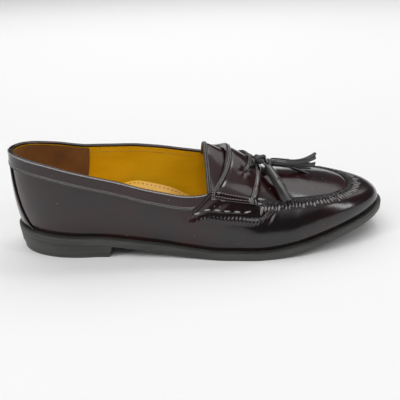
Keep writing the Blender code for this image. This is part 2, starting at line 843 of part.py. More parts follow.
def tassel_frame(side):
    """Neck, tip and the cross directions of one tassel."""
    neck, tip = (over_vamp(*TASSELS[side][end]) for end in ("neck", "tip"))
    axis = (tip - neck) / np.linalg.norm(tip - neck)
    flank = np.cross([0.0, 0.0, 1.0], axis)
    flank /= np.linalg.norm(flank)
    return neck, tip, axis, flank, np.cross(axis, flank)


def turned(bm, frame, profile, sides):
    """A closed round body along a tassel's axis from distances and radii."""
    neck, _, axis, flank, up = frame
    rows = []
    for distance, radius in profile:
        ring = []
        for k in range(sides):
            turn = 2 * pi * k / sides
            offset = flank * cos(turn) + up * sin(turn)
            ring.append(neck + axis * distance + offset * radius)
        rows.append(ring + ring[:1])
    add_grid(bm, rows)
    for ring in (rows[0], rows[-1]):
        middle = sum(ring[:-1]) / sides
        add_grid(bm, [[middle] * len(ring), ring])


def tassel_head(side):
    frame = tassel_frame(side)
    radius = TASSEL_HEAD_DIAMETER / 2
    profile = (
        (0.0, radius * 0.62),
        (TASSEL_HEAD_LENGTH * 0.12, radius * 0.86),
        (TASSEL_HEAD_LENGTH * 0.66, radius),
        (TASSEL_HEAD_LENGTH * 0.72, radius * 1.10),
        (TASSEL_HEAD_LENGTH * 0.94, radius * 1.10),
        (TASSEL_HEAD_LENGTH, radius * 0.98),
    )
    bm = bmesh.new()
    turned(bm, frame, profile, 16)
    return finish("tassel_" + SIDE_NAME[side], bm, BLACK_BROWN)


def tassel_strips(side):
    """The cut strips of one tassel as separate closed bodies, rooted inside its head."""
    neck, tip, axis, flank, up = tassel_frame(side)
    length = np.linalg.norm(tip - neck)
    bm = bmesh.new()
    for k in range(TASSEL_STRIPS):
        turn = 2 * pi * (k + 0.5) / TASSEL_STRIPS
        out = flank * cos(turn) + up * sin(turn)
        along = -flank * sin(turn) + up * cos(turn)
        end = length * (1.0 - 0.05 * ((k * 5) % 3))
        rows = []
        for t in spaced(0, 1, 4):
            distance = mix(TASSEL_HEAD_LENGTH - 0.002, end, t)
            radius = TASSEL_HEAD_DIAMETER / 2 * mix(0.78, 1.05, ease(t))
            centre = neck + axis * distance + out * radius
            wide = along * STRIP_WIDTH / 2 * mix(0.75, 1.15, t)
            thick = out * STRIP_THICKNESS / 2
            corners = [centre - wide - thick, centre + wide - thick]
            corners += [centre + wide + thick, centre - wide + thick]
            rows.append(corners + corners[:1])
        add_grid(bm, rows)
        for ring in (rows[0], rows[-1]):
            add_grid(bm, [[ring[0], ring[1]], [ring[3], ring[2]]])
    strips = finish("strips_" + SIDE_NAME[side], bm, BLACK_BROWN)
    strips.hide_render = True
    strips.display_type = "WIRE"
    return strips


def tassel(side):
    """A rolled head with its strips fused on."""
    head = tassel_head(side)
    fuse = head.modifiers.new("strips", "BOOLEAN")
    fuse.operation = "UNION"
    fuse.object = tassel_strips(side)
    return head


def lace_end(side):
    """The short end of the lace from the knot to one tassel."""
    neck, _, axis, _, _ = tassel_frame(side)
    middle = knot_frame()[0]
    toward = (neck - middle) / np.linalg.norm(neck - middle)
    reach_out = KNOT_LENGTH / 2 + 3 * GAP
    start, end = middle + toward * reach_out, neck - axis * 2 * GAP
    curve = bpy.data.curves.new("lace_end_" + SIDE_NAME[side], "CURVE")
    curve.dimensions = "3D"
    curve.bevel_depth = LACE_END_DIAMETER / 2
    curve.bevel_resolution = 2
    curve.use_fill_caps = True
    spline = curve.splines.new("POLY")
    points = [mix(start, end, t) for t in spaced(0, 1, 3)]
    spline.points.add(len(points) - 1)
    for at, point in zip(spline.points, points):
        at.co = (*centred(point), 1.0)
    made = bpy.data.objects.new("lace_end_" + SIDE_NAME[side], curve)
    curve.materials.append(material(*BLACK_BROWN))
    bpy.context.scene.collection.objects.link(made)
    return made


def clear_scene():
    for old in list(bpy.data.objects):
        bpy.data.objects.remove(old, do_unlink=True)


def build():
    clear_scene()
    outsole()
    heel()
    insole()
    upper()
    tongue()
    cut_eyelets(strap())
    for side in (LATERAL, MEDIAL):
        wing(side)
        tassel(side)
        lace_end(side)
    collar_band()
    back_strip()
    lace_bar()
    knot()


build()
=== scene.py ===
"""Looks of a tassel loafer for the right foot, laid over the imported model.

Every size is in metres. Places on the shoe are worked out from the back of the heel, on the
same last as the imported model, and then moved to its frame: +X toward the toe, -Y the outer side.
"""

from math import pi, radians, sin

import bpy
import numpy as np
from mathutils import Matrix, Vector


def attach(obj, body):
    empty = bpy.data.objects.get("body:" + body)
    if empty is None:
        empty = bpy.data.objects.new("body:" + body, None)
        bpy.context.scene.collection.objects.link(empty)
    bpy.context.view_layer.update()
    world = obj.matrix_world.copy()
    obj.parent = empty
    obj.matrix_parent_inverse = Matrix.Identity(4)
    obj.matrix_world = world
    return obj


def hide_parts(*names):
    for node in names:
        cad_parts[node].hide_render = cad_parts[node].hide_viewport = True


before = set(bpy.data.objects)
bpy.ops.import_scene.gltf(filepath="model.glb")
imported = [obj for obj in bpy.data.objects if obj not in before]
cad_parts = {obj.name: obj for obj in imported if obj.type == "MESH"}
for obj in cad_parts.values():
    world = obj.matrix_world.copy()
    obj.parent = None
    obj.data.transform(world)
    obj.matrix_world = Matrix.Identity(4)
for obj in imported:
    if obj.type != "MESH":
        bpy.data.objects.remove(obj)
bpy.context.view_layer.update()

bl_info = {
    "name": "Tassel Loafer",
    "version": (1, 0, 0),
    "blender": (4, 5, 0),
    "location": "View3D > Sidebar > Loafer",
    "description": "Builds the leather, seams, lace and tassels of a loafer over its packed model",
    "category": "Object",
}

# The last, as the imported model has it
SHOE_LENGTH = 0.305
BALL_WIDTH = 0.105
HEEL_WIDTH = 0.069
HEEL_LENGTH = 0.078
HEEL_HEIGHT = 0.0148
TOE_SPRING = 0.018
TOE_SWING = 0.004
SOLE_THICKNESS = 0.007
COLLAR_HEIGHT = 0.062
INSTEP_CROWN = 0.0255
UPPER_WALL = 0.002
GAP = 0.0003
OVERLAY_GAP = 0.0005
FEATHER_INSET = 0.0036
BREAST_HOLLOW = 0.0015
INSOLE_THICKNESS = 0.003
INSOLE_CLEARANCE = 0.0005
ARCH_PAD_HEIGHT = 0.022

# Throat and overlays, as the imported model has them
THROAT_PLACE = 0.515
RIB_BOW = 0.015
TONGUE_REACH = 0.0025
TONGUE_TUCK = 0.026
TONGUE_THICKNESS = 0.0016
STRAP_WIDTH = 0.034
STRAP_THICKNESS = 0.0014
STRAP_RIB_WIDTH = 0.003
STRAP_BORDER_WIDTH = 0.004
STRAP_OVER = 0.0035
STRAP_CLIMB = 0.010
WING_THICKNESS = 0.0013
WING_DROP_REAR = 0.0165
WING_DROP_FRONT = 0.0115
WING_LENGTH = 0.040
WING_RAKE = 0.0145
WING_CORNER = 0.0025
BAND_THICKNESS = 0.0012
BAND_HEIGHT = 0.0115
BAND_CLEARANCE = 0.002
BACK_STRIP_THICKNESS = 0.0012
BACK_STRIP_TOP = 0.008
BACK_STRIP_FOOT = 0.023
BACK_STRIP_FLARE = 0.6

# Lace, knot and tassels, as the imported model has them
LACE_PLACE = 0.0165
EYELET_SPREAD = 0.018
EYELET_DIAMETER = 0.0034
LACE_DRAW = 0.005
KNOT_LENGTH = 0.011
KNOT_HEIGHT = 0.0062
KNOT_RUN = 0.0405
KNOT_ACROSS = -0.08
TASSEL_HEAD_DIAMETER = 0.0074
TASSEL_HEAD_LENGTH = 0.0145

# Where the rounded heel and toe of each outline begin, as shares of the length
SOLE_HEEL_CAP = 0.19
SOLE_TOE_CAP = 0.30
TOP_BACK = 0.012
TOP_HEEL_CAP = 0.20
TOP_TOE_CAP = 0.17
APRON_TIP = 0.91
TOE_ROUNDNESS = 0.92
RIDGE_SOFTNESS = 0.004

LATERAL, MEDIAL = -1, 1
WORDS = {LATERAL: "lateral", MEDIAL: "medial"}

# Faces of the overlays over the last, and the strip's wall before its soft edges
WING_FACE = OVERLAY_GAP + WING_THICKNESS
BAND_FACE = OVERLAY_GAP + BAND_THICKNESS
BACK_STRIP_WALL = BACK_STRIP_THICKNESS - 0.0004

# Throat's edge, and the saddle's half width that turns its distances into shares
THROAT_REACH = 0.985
THROAT_EDGE_WIDTH = 0.0034
HALF_SADDLE = 0.0385
EYELET_ACROSS = EYELET_SPREAD / HALF_SADDLE

# Ring on which a tassel's strips are set, and how deep they start in the head
STRIP_RING = TASSEL_HEAD_DIAMETER / 2 * 0.72
STRIP_ROOT = 0.004

# Steps for welding points and for finding directions
WELD = 2e-6
PROBE = 1e-3

# Edge thread, and how far a stitch's middle stands out as a share of its height
EDGE_PITCH = 0.0021
EDGE_THREAD = 0.00055
THREAD_RISE = 0.25

# Thread of each row: pitch, length, width, height and slant
THREADS = {
    "throat_stitches": (0.0019, 0.0014, 0.00065, 0.0006, 0.5),
    "strap_rib_stitches": (0.0019, 0.0015, 0.00065, 0.0006, 0.5),
    "strap_border_stitches": (0.0021, 0.0016, 0.00060, 0.0005, 0.3),
    "strap_end_stitches": (0.0021, 0.0016, 0.00060, 0.0005, 0.3),
    "collar_stitches": (EDGE_PITCH, 0.0017, EDGE_THREAD, 0.0005, 0.25),
    "back_strip_stitches": (0.0021, 0.0017, 0.00045, 0.0004, 0.0),
    "lining_stitches": (0.0030, 0.0020, 0.00050, 0.0004, 0.0),
}

# Hand-sewn seam: size of a stitch, how far it lies in from the top line, and the wall's gathered part
SEAM_STITCH = (0.0021, 0.00085, 0.00085)
SEAM_INSET = 0.0002
GATHERED_DEPTH = 0.0090

# Inside and heel
LINING_SEAM_DROP = 0.0060
HEEL_LINING_REACH = 0.059
INSIDE_HEEL = np.array([0.06, 0.0, 0.05])
BREAST_LEAN = 0.0035

# Layers of the heel from the floor up: inset, and height in metres or as a share of the sole's
HEEL_LAYERS = np.array([
    (0.0022, 0.0, 0.0),
    (0.0018, 0.0006, 0.0),
    (0.0016, 0.0040, 0.0),
    (0.0015, 0.0043, 0.0),
    (0.0006, 0.0, 0.5),
    (0.0001, 0.0, 1.0),
])


def table(columns, *rows):
    """A short table: its first column is a station, as a share of the shoe's length."""
    stations = np.array([row[0] for row in rows])
    read = {}
    for i, name in enumerate(columns.split()):
        values = np.array([row[i] for row in rows])
        read[name] = (stations, values, tangents(stations, values))
    return read


def tangents(x, y):
    """Slopes at each row that keep a cubic through the rows from overshooting."""
    width, slope = np.diff(x), np.diff(y) / np.diff(x)
    found = np.zeros(len(x))
    for i in range(1, len(x) - 1):
        if slope[i - 1] * slope[i] > 0:
            before, after = 2 * width[i] + width[i - 1], width[i] + 2 * width[i - 1]
            found[i] = (before + after) / (before / slope[i - 1] + after / slope[i])
    return found


# Half widths of the sole, as shares of the width at each station
SOLE_PLAN = table(
    "station lateral medial",
    (0.00, 0.500, 0.490),
    (0.20, 0.503, 0.490),
    (0.30, 0.525, 0.435),
    (0.40, 0.477, 0.333),
    (0.48, 0.456, 0.318),
    (0.56, 0.474, 0.371),
    (0.64, 0.500, 0.450),
    (0.72, 0.497, 0.488),
    (0.80, 0.480, 0.484),
    (0.90, 0.455, 0.460),
    (1.00, 0.440, 0.445),
)

# Underside of the sole above the floor: shares of heel height and of toe spring
SOLE_RISE = table(
    "station heel toe",
    (0.000, 1.00, 0.00),
    (0.120, 0.86, 0.00),
    (0.255, 0.68, 0.00),
    (0.310, 0.56, 0.00),
    (0.380, 0.37, 0.00),
    (0.465, 0.11, 0.00),
    (0.525, 0.00, 0.00),
    (0.650, 0.00, 0.00),
    (0.720, 0.00, 0.14),
    (0.840, 0.00, 0.52),
    (0.910, 0.00, 0.74),
    (1.000, 0.00, 1.00),
)

# Top line of the wall: the collar behind the throat, and the apron's seam before it
TOP_LINE = table(
    "station lateral medial lateral_height medial_height",
    (0.000, 0.460, 0.460, 1.000, 1.000),
    (0.100, 0.460, 0.460, 0.963, 0.930),
    (0.190, 0.462, 0.465, 0.876, 0.862),
    (0.250, 0.466, 0.475, 0.811, 0.868),
    (0.315, 0.466, 0.466, 0.758, 0.884),
    (0.380, 0.425, 0.420, 0.705, 0.886),
    (0.440, 0.395, 0.380, 0.690, 0.877),
    (0.485, 0.377, 0.360, 0.712, 0.862),
    (0.515, 0.367, 0.352, 0.752, 0.850),
    (0.560, 0.367, 0.355, 0.700, 0.762),
    (0.600, 0.365, 0.355, 0.645, 0.682),
    (0.650, 0.350, 0.345, 0.565, 0.590),
    (0.700, 0.338, 0.335, 0.524, 0.530),
    (0.780, 0.332, 0.330, 0.460, 0.465),
    (0.850, 0.330, 0.330, 0.388, 0.388),
    (0.910, 0.330, 0.330, 0.325, 0.325),
)

# Rise of the apron's ridge over its seam, as a share of the instep crown
APRON_CROWN = table(
    "station crown roundness",
    (0.480, 1.030, 1.60),
    (0.515, 1.000, 1.60),
    (0.564, 0.910, 1.62),
    (0.613, 0.776, 1.66),
    (0.669, 0.560, 1.74),
    (0.721, 0.400, 1.85),
    (0.787, 0.280, 1.95),
    (0.852, 0.170, 2.00),
    (0.885, 0.105, 2.00),
    (0.910, 0.000, 2.00),
)

# Fullness of the side wall: handles low and high, out as shares of the ball width
# and up as shares of the wall's height
WALL_FULLNESS = table(
    "station low_out low_up high_out high_up",
    (0.00, 0.030, 0.34, 0.022, -0.30),
    (0.20, 0.042, 0.34, 0.018, -0.30),
    (0.40, 0.046, 0.34, 0.022, -0.28),
    (0.52, 0.048, 0.36, 0.034, -0.25),
    (0.62, 0.050, 0.40, 0.066, -0.16),
    (0.74, 0.050, 0.44, 0.080, -0.08),
    (0.88, 0.046, 0.48, 0.085, 0.00),
    (1.00, 0.032, 0.72, 0.095, 0.06),
)

# Arch pad of the insole on the inner side, as a share of its height
ARCH_PAD = table(
    "station height",
    (0.19, 0.00),
    (0.25, 0.62),
    (0.33, 1.00),
    (0.40, 0.90),
    (0.47, 0.50),
    (0.54, 0.00),
)


# The last. Every function takes arrays of places as well as single ones.
def cubic(x, y, slope, at):
    """Reads between rows by a cubic through their values, with a slope at each."""
    at = np.clip(at, x[0], x[-1])
    i = np.clip(np.searchsorted(x, at, side="right") - 1, 0, len(x) - 2)
    width = x[i + 1] - x[i]
    t = (at - x[i]) / width
    flat = y[i] * (1 + 2 * t) * (1 - t) ** 2 + y[i + 1] * t * t * (3 - 2 * t)
    return flat + width * t * (1 - t) * (slope[i] * (1 - t) - slope[i + 1] * t)


def read(rows, column, at):
    """Monotone cubic reading of one column of a table."""
    return cubic(*rows[column], at)


def side_of(across):
    return np.where(across < 0, LATERAL, MEDIAL)


def by_side(rows, ending, side, at):
    return np.where(side < 0, read(rows, "lateral" + ending, at), read(rows, "medial" + ending, at))


def ease(t):
    """0 to 1 with level ends."""
    t = np.clip(t, 0.0, 1.0)
    return t * t * (3 - 2 * t)


def mix(a, b, t):
    return a + (b - a) * t


def unit(vectors):
    return vectors / np.linalg.norm(vectors, axis=-1, keepdims=True)


def width_at(station):
    return mix(HEEL_WIDTH, BALL_WIDTH, ease((station - 0.25) / 0.31))


def centre_at(station):
    return TOE_SWING * ease((station - 0.55) / 0.45)


def rise_at(x):
    station = x / SHOE_LENGTH
    return HEEL_HEIGHT * read(SOLE_RISE, "heel", station) + TOE_SPRING * read(SOLE_RISE, "toe", station)


def place_along(around, back, heel_cap, front, toe_cap):
    """The x of a place on an outline and the share of its full half width there."""
    heel, toe = (np.clip(around - start, 0, 1) * pi / 2 for start in (0, 2))
    run = mix(back + heel_cap, front - toe_cap, np.clip(around - 1, 0, 1))
    share = np.where(around <= 1, back + heel_cap * (1 - np.cos(heel)), run)
    share = np.where(around > 2, front - toe_cap * (1 - np.sin(toe)), share)
    cap = np.where(around <= 1, np.sin(heel), 1.0)
    return share, np.where(around > 2, np.maximum(np.cos(toe), 0.0) ** TOE_ROUNDNESS, cap)


def sole_edge(side, around):
    share, cap = place_along(around, 0.0, SOLE_HEEL_CAP, 1.0, SOLE_TOE_CAP)
    half = by_side(SOLE_PLAN, "", side, share) * width_at(share) * cap
    return np.stack([share * SHOE_LENGTH, centre_at(share) + side * half], axis=-1)


def edge_normal(side, around):
    """The outward direction of the sole's outline."""
    step = 1e-3
    ahead, behind = np.minimum(around + step, 3), np.maximum(around - step, 0)
    along = unit(sole_edge(side, ahead) - sole_edge(side, behind))
    x = np.where(around < step, -1.0, np.where(around > 3 - step, 1.0, -side * along[..., 1]))
    y = np.where((around < step) | (around > 3 - step), 0.0, side * along[..., 0])
    return np.stack([x, y], axis=-1)


def inset_edge(side, around, inset):
    inset = np.asarray(inset)[..., None]
    return sole_edge(side, around) - inset * edge_normal(side, around)


def across_plan(around, share, inset):
    """A share of the way over the sole, from its outer edge (0) to its inner one (1)."""
    left, right = (inset_edge(np.full(np.shape(around), side), around, inset) for side in (LATERAL, MEDIAL))
    return mix(left, right, np.asarray(share)[..., None])


def seam_half(side, share):
    return by_side(TOP_LINE, "", side, share) * width_at(share)


def seam_height(side, share):
    lift = COLLAR_HEIGHT * by_side(TOP_LINE, "_height", side, share)
    return rise_at(share * SHOE_LENGTH) + SOLE_THICKNESS + lift


def top_place(around):
    return place_along(around, TOP_BACK, TOP_HEEL_CAP, APRON_TIP, TOP_TOE_CAP)


def top_edge(side, around):
    """A point of the collar, or before the throat of the apron's seam."""
    share, cap = top_place(around)
    y = centre_at(share) + side * seam_half(side, share) * cap
    return np.stack([share * SHOE_LENGTH, y, seam_height(side, share)], axis=-1)


def wall_point(side, around, up):
    """The last's side, from the feather edge (0) to the top line (1)."""
    side, around, up = np.broadcast_arrays(side, around, up)
    plan = inset_edge(side, around, FEATHER_INSET)
    foot = np.concatenate([plan, (rise_at(plan[..., 0]) + SOLE_THICKNESS + GAP)[..., None]], axis=-1)
    top = top_edge(side, around)
    out = np.concatenate([edge_normal(side, around), np.zeros(plan.shape[:-1] + (1,))], axis=-1)
    lift = np.zeros_like(foot)
    lift[..., 2] = top[..., 2] - foot[..., 2]
    at = plan[..., 0] / SHOE_LENGTH
    columns = ("low_out", "low_up", "high_out", "high_up")
    low_out, low_up, high_out, high_up = (read(WALL_FULLNESS, name, at)[..., None] for name in columns)
    low = foot + out * low_out * BALL_WIDTH + lift * low_up
    high = top + out * high_out * BALL_WIDTH + lift * high_up
    up = up[..., None]
    down = 1 - up
    return foot * down**3 + 3 * low * down**2 * up + 3 * high * down * up**2 + top * up**3


def wall_length(side, around):
    """Length of the side wall from feather edge to top line."""
    points = [wall_point(side, around, k / 8) for k in range(9)]
    return sum(np.linalg.norm(b - a, axis=-1) for a, b in zip(points, points[1:]))


def wall_normal(side, around, up):
    step = 1e-3
    a, b = np.clip(around, step, 3 - step), np.clip(up, step, 1 - step)
    along = wall_point(side, a + step, b) - wall_point(side, a - step, b)
    rise = wall_point(side, a, b + step) - wall_point(side, a, b - step)
    normal = np.cross(along, rise) * -np.asarray(side * np.ones_like(a))[..., None]
    ends = (np.asarray(around) < step) | (np.asarray(around) > 3 - step)
    normal[..., 1] = np.where(ends, 0.0, normal[..., 1])
    return unit(normal)


def on_wall(side, around, down, lift):
    """A point a distance down from the top line, moved out from the wall."""
    side, around, down, lift = np.broadcast_arrays(side, around, down, lift)
    up = 1 - down / wall_length(side, around)
    return wall_point(side, around, up) + lift[..., None] * wall_normal(side, around, up)


def apron_height(share, across):
    """Height of the apron where across runs from one seam (-1) to the other (1)."""
    lateral, medial = (seam_height(np.full(np.shape(share), side), share) for side in (LATERAL, MEDIAL))
    power = read(APRON_CROWN, "roundness", share) / 2
    fall = (across**2 + RIDGE_SOFTNESS) ** power - RIDGE_SOFTNESS**power
    fall = fall / ((1 + RIDGE_SOFTNESS) ** power - RIDGE_SOFTNESS**power)
    crown = INSTEP_CROWN * read(APRON_CROWN, "crown", share)
    return mix(lateral, medial, (1 + across) / 2) + crown * (1 - fall)


def apron_point(around, across):
    """The last's top over the vamp, from the lateral seam (-1) to the medial one (1)."""
    side = side_of(across)
    share, cap = top_place(around)
    fade = ease((share - THROAT_PLACE) / (APRON_TIP - THROAT_PLACE - TOP_TOE_CAP))
    at = share + RIB_BOW / SHOE_LENGTH * (1 - np.abs(across) ** 2.5) * (1 - fade)
    half = seam_half(side, share)
    nearness = across * half / seam_half(side, at)
    y = centre_at(share) + across * half * cap
    return np.stack([at * SHOE_LENGTH, y, apron_height(at, nearness)], axis=-1)


def apron_normal(around, across):
    step = 1e-3
    a = np.clip(around, step, 3 - 2 * step)
    b = np.clip(across, step - 1, 1 - step)
    along = apron_point(a + step, b) - apron_point(a - step, b)
    over = apron_point(a, b + step) - apron_point(a, b - step)
    return unit(np.cross(along, over))


def on_apron(around, across, lift):
    """A point of the apron, or past its seam of the wall, moved out from it."""
    around, across, lift = np.broadcast_arrays(around, across, lift)
    inner = np.clip(across, -1, 1)
    top = apron_point(around, inner) + lift[..., None] * apron_normal(around, inner)
    side = side_of(across)
    past = np.maximum(np.abs(across) - 1, 0.0) * seam_half(side, top_place(around)[0])
    beyond = on_wall(side, around, past, lift)
    return np.where((np.abs(across) > 1)[..., None], beyond, top)


def on_instep(run, across, lift):
    """A point of the apron's surface carried back over the throat, lifted from it."""
    run, across, lift = np.broadcast_arrays(run, across, lift)

    def point(run, across):
        side = side_of(across)
        share = THROAT_PLACE + run / SHOE_LENGTH
        y = centre_at(share) + across * seam_half(side, share)
        return np.stack([share * SHOE_LENGTH, y, apron_height(share, across)], axis=-1)

    step = 1e-3
    along = point(run + step, across) - point(run - step, across)
    over = point(run, across + step) - point(run, across - step)
    return point(run, across) + lift[..., None] * unit(np.cross(along, over))


def over_vamp(run, across, lift):
    """A point straight above the vamp, forward of the throat."""
    share = THROAT_PLACE + run / SHOE_LENGTH
    y = centre_at(share) + across * seam_half(np.full(np.shape(share), LATERAL), share)
    return np.stack(np.broadcast_arrays(share * SHOE_LENGTH, y, apron_height(share, across) + lift), axis=-1)


def around_at(share):
    """The place on the top line's straight run at a share of the shoe's length."""
    start, end = TOP_BACK + TOP_HEEL_CAP, APRON_TIP - TOP_TOE_CAP
    return 1 + (share - start) / (end - start)


THROAT_AROUND = around_at(THROAT_PLACE)
STRAP_REACH = 1 + STRAP_OVER / seam_half(LATERAL, THROAT_PLACE)


def reach(side):
    around = np.linspace(1, 3, 81)
    return np.max(side * sole_edge(np.full(81, side), around)[:, 1])


MIDDLE = np.array([SHOE_LENGTH / 2, (reach(MEDIAL) - reach(LATERAL)) / 2, 0.0])


def turn_parts(turn):
    """Side and place of a turn round the shoe: 0 heel, by the outer side, 3 toe, 6 heel."""
    return np.where(turn <= 3, LATERAL, MEDIAL), np.where(turn <= 3, turn, 6 - turn)


# Modelling
def deselect():
    bpy.ops.object.select_all(action="DESELECT")


def pick(piece):
    deselect()
    piece.select_set(True)
    bpy.context.view_layer.objects.active = piece


def apply_all(piece):
    pick(piece)
    for modifier in list(piece.modifiers):
        bpy.ops.object.modifier_apply(modifier=modifier.name)


def edit(piece, *steps):
    """Runs edit-mode operators on the whole piece, each given as an operator and its settings."""
    pick(piece)
    bpy.ops.object.mode_set(mode="EDIT")
    bpy.ops.mesh.select_all(action="SELECT")
    for step, settings in steps:
        step(**settings)
    bpy.ops.object.mode_set(mode="OBJECT")


def toward(piece, direction):
    """Turns an open piece over if its faces look against the direction given for their centres."""
    total = sum(face.area * face.normal.dot(direction(face.center)) for face in piece.data.polygons)
    if total < 0:
        edit(piece, (bpy.ops.mesh.flip_normals, {}))
    return smooth(piece)


def read_points(piece):
    found = np.empty(len(piece.data.vertices) * 3, dtype=np.float32)
    piece.data.vertices.foreach_get("co", found)
    return found.reshape(-1, 3)


def set_points(piece, points):
    """Moves a piece's points."""
    piece.data.vertices.foreach_set("co", np.ascontiguousarray(points, dtype=np.float32).ravel())
    piece.data.update()


def laid(name, along, over, place, turned=False):
    """A grid primitive whose points are laid out by a rule, over the last or round a path."""
    deselect()
    bpy.ops.mesh.primitive_grid_add(x_subdivisions=len(along) - 1, y_subdivisions=len(over) - 1, size=1.0)
    piece = bpy.context.object
    piece.name = piece.data.name = name
    spot = read_points(piece) + 0.5
    i = np.rint(spot[:, 0] * (len(along) - 1)).astype(int)
    j = np.rint(spot[:, 1] * (len(over) - 1)).astype(int)
    set_points(piece, place(np.asarray(along)[i], np.asarray(over)[j]) - MIDDLE)
    steps = [(bpy.ops.mesh.remove_doubles, {"threshold": WELD})]
    if turned:
        steps.append((bpy.ops.mesh.flip_normals, {}))
    edit(piece, *steps)
    return smooth(piece)


def thicken(piece, thickness, rounding=0.0003):
    """Gives a laid piece its wall, inwards, and rounds the wall's edges."""
    wall = piece.modifiers.new("wall", "SOLIDIFY")
    wall.thickness = thickness
    wall.offset = -1
    if rounding:
        edge = piece.modifiers.new("edge", "BEVEL")
        edge.width = rounding
        edge.segments = 2
        edge.limit_method = "ANGLE"
        edge.angle_limit = radians(50)
    apply_all(piece)
    return smooth(piece, 60)


def join(name, pieces):
    pick(pieces[0])
    for piece in pieces:
        piece.select_set(True)
    bpy.ops.object.join()
    pieces[0].name = pieces[0].data.name = name
    return pieces[0]


def smooth(piece, angle=None):
    """Shades a piece smooth, or only across edges flatter than an angle in degrees."""
    pick(piece)
    if angle is None:
        bpy.ops.object.shade_smooth()
    else:
        bpy.ops.object.shade_smooth_by_angle(angle=radians(angle))
    return piece


def outward(piece, angle=None, gap=WELD):
    """Welds a closed piece, turns its faces out and shades it."""
    weld = (bpy.ops.mesh.remove_doubles, {"threshold": gap})
    edit(piece, weld, (bpy.ops.mesh.normals_make_consistent, {"inside": False}))
    return smooth(piece, angle)


def dressed(piece, finish, *nodes, slot=None):
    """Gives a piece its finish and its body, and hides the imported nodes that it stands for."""
    piece.data.materials.clear()
    piece.data.materials.append(finish)
    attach(piece, "root")
    if nodes:
        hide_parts(*nodes)
    return piece


def run_along(points):
    """Distance of each point of a path from its start."""
    return np.concatenate([[0], np.cumsum(np.linalg.norm(np.diff(points, axis=0), axis=1))])


def resample(points, normals, pitch):
    """Even steps along a path: places, directions along it and normals."""
    run = run_along(points)
    at = np.arange(0.5 * pitch, run[-1] - 0.3 * pitch, pitch)

    def spot(values, at):
        return np.stack([np.interp(at, run, column) for column in values.T], axis=1)

    nearby = 2e-4
    ahead = spot(points, at + nearby) - spot(points, at - nearby)
    return spot(points, at), unit(ahead), unit(spot(normals, at))


def repeated(name, base, spots, along, up, scales):
    """One mesh of many copies of a small base piece, each set along its own directions."""
    co = read_points(base)
    faces = [list(face.vertices) for face in base.data.polygons]
    across = unit(np.cross(up, along))
    rise = np.cross(along, across)
    points, polygons = [], []
    for k in range(len(spots)):
        points.append(spots[k] + (co * scales[k]) @ np.stack([along[k], across[k], rise[k]]))
        polygons += [[v + k * len(co) for v in face] for face in faces]
    mesh = bpy.data.meshes.new(name)
    mesh.from_pydata(np.concatenate(points) - MIDDLE, [], polygons)
    made = bpy.data.objects.new(name, mesh)
    bpy.context.scene.collection.objects.link(made)
    bpy.data.objects.remove(base, do_unlink=True)
    return smooth(made)


def bead(segments=8, rings=5):
    """A small round piece one unit across, from which stitches and pinholes are made."""
    deselect()
    bpy.ops.mesh.primitive_uv_sphere_add(segments=segments, ring_count=rings, radius=0.5)
    return bpy.context.object


def stitches(name, rows, finish="edge thread"):
    """Rows of thread, each row a path of points with the surface's normals."""
    pitch, length, width, height, slant = THREADS[name]
    pitch *= sizes().edge_pitch / EDGE_PITCH
    width *= sizes().edge_thread / EDGE_THREAD
    spots, along, up = [], [], []
    for points, normals in rows:
        spot, run, rise = resample(points, normals, pitch)
        spots.append(spot + rise * height * THREAD_RISE)
        along.append(unit(run + np.cross(rise, run) * slant))
        up.append(rise)
    spots, along, up = (np.concatenate(each) for each in (spots, along, up))
    scales = np.tile([length, width, height], (len(spots), 1))
    return dressed(repeated(name, bead(), spots, along, up, scales), look(finish))


# Shaders
class Reading:
    """A value, colour or place in a shader, with the usual signs for its maths."""

    def __init__(self, shading, socket):
        self.shading = shading
        self.socket = socket

    def maths(self, operation, *values):
        found = self.shading.add("ShaderNodeMath", {"operation": operation}, dict(enumerate(values)))
        return Reading(self.shading, found.outputs[0])

    def __add__(self, other):
        return self.maths("ADD", self, other)

    def __mul__(self, other):
        return self.maths("MULTIPLY", self, other)

    def __lt__(self, other):
        return self.maths("LESS_THAN", self, other)

    def __gt__(self, other):
        return self.maths("GREATER_THAN", self, other)

    __radd__ = __add__
    __rmul__ = __mul__


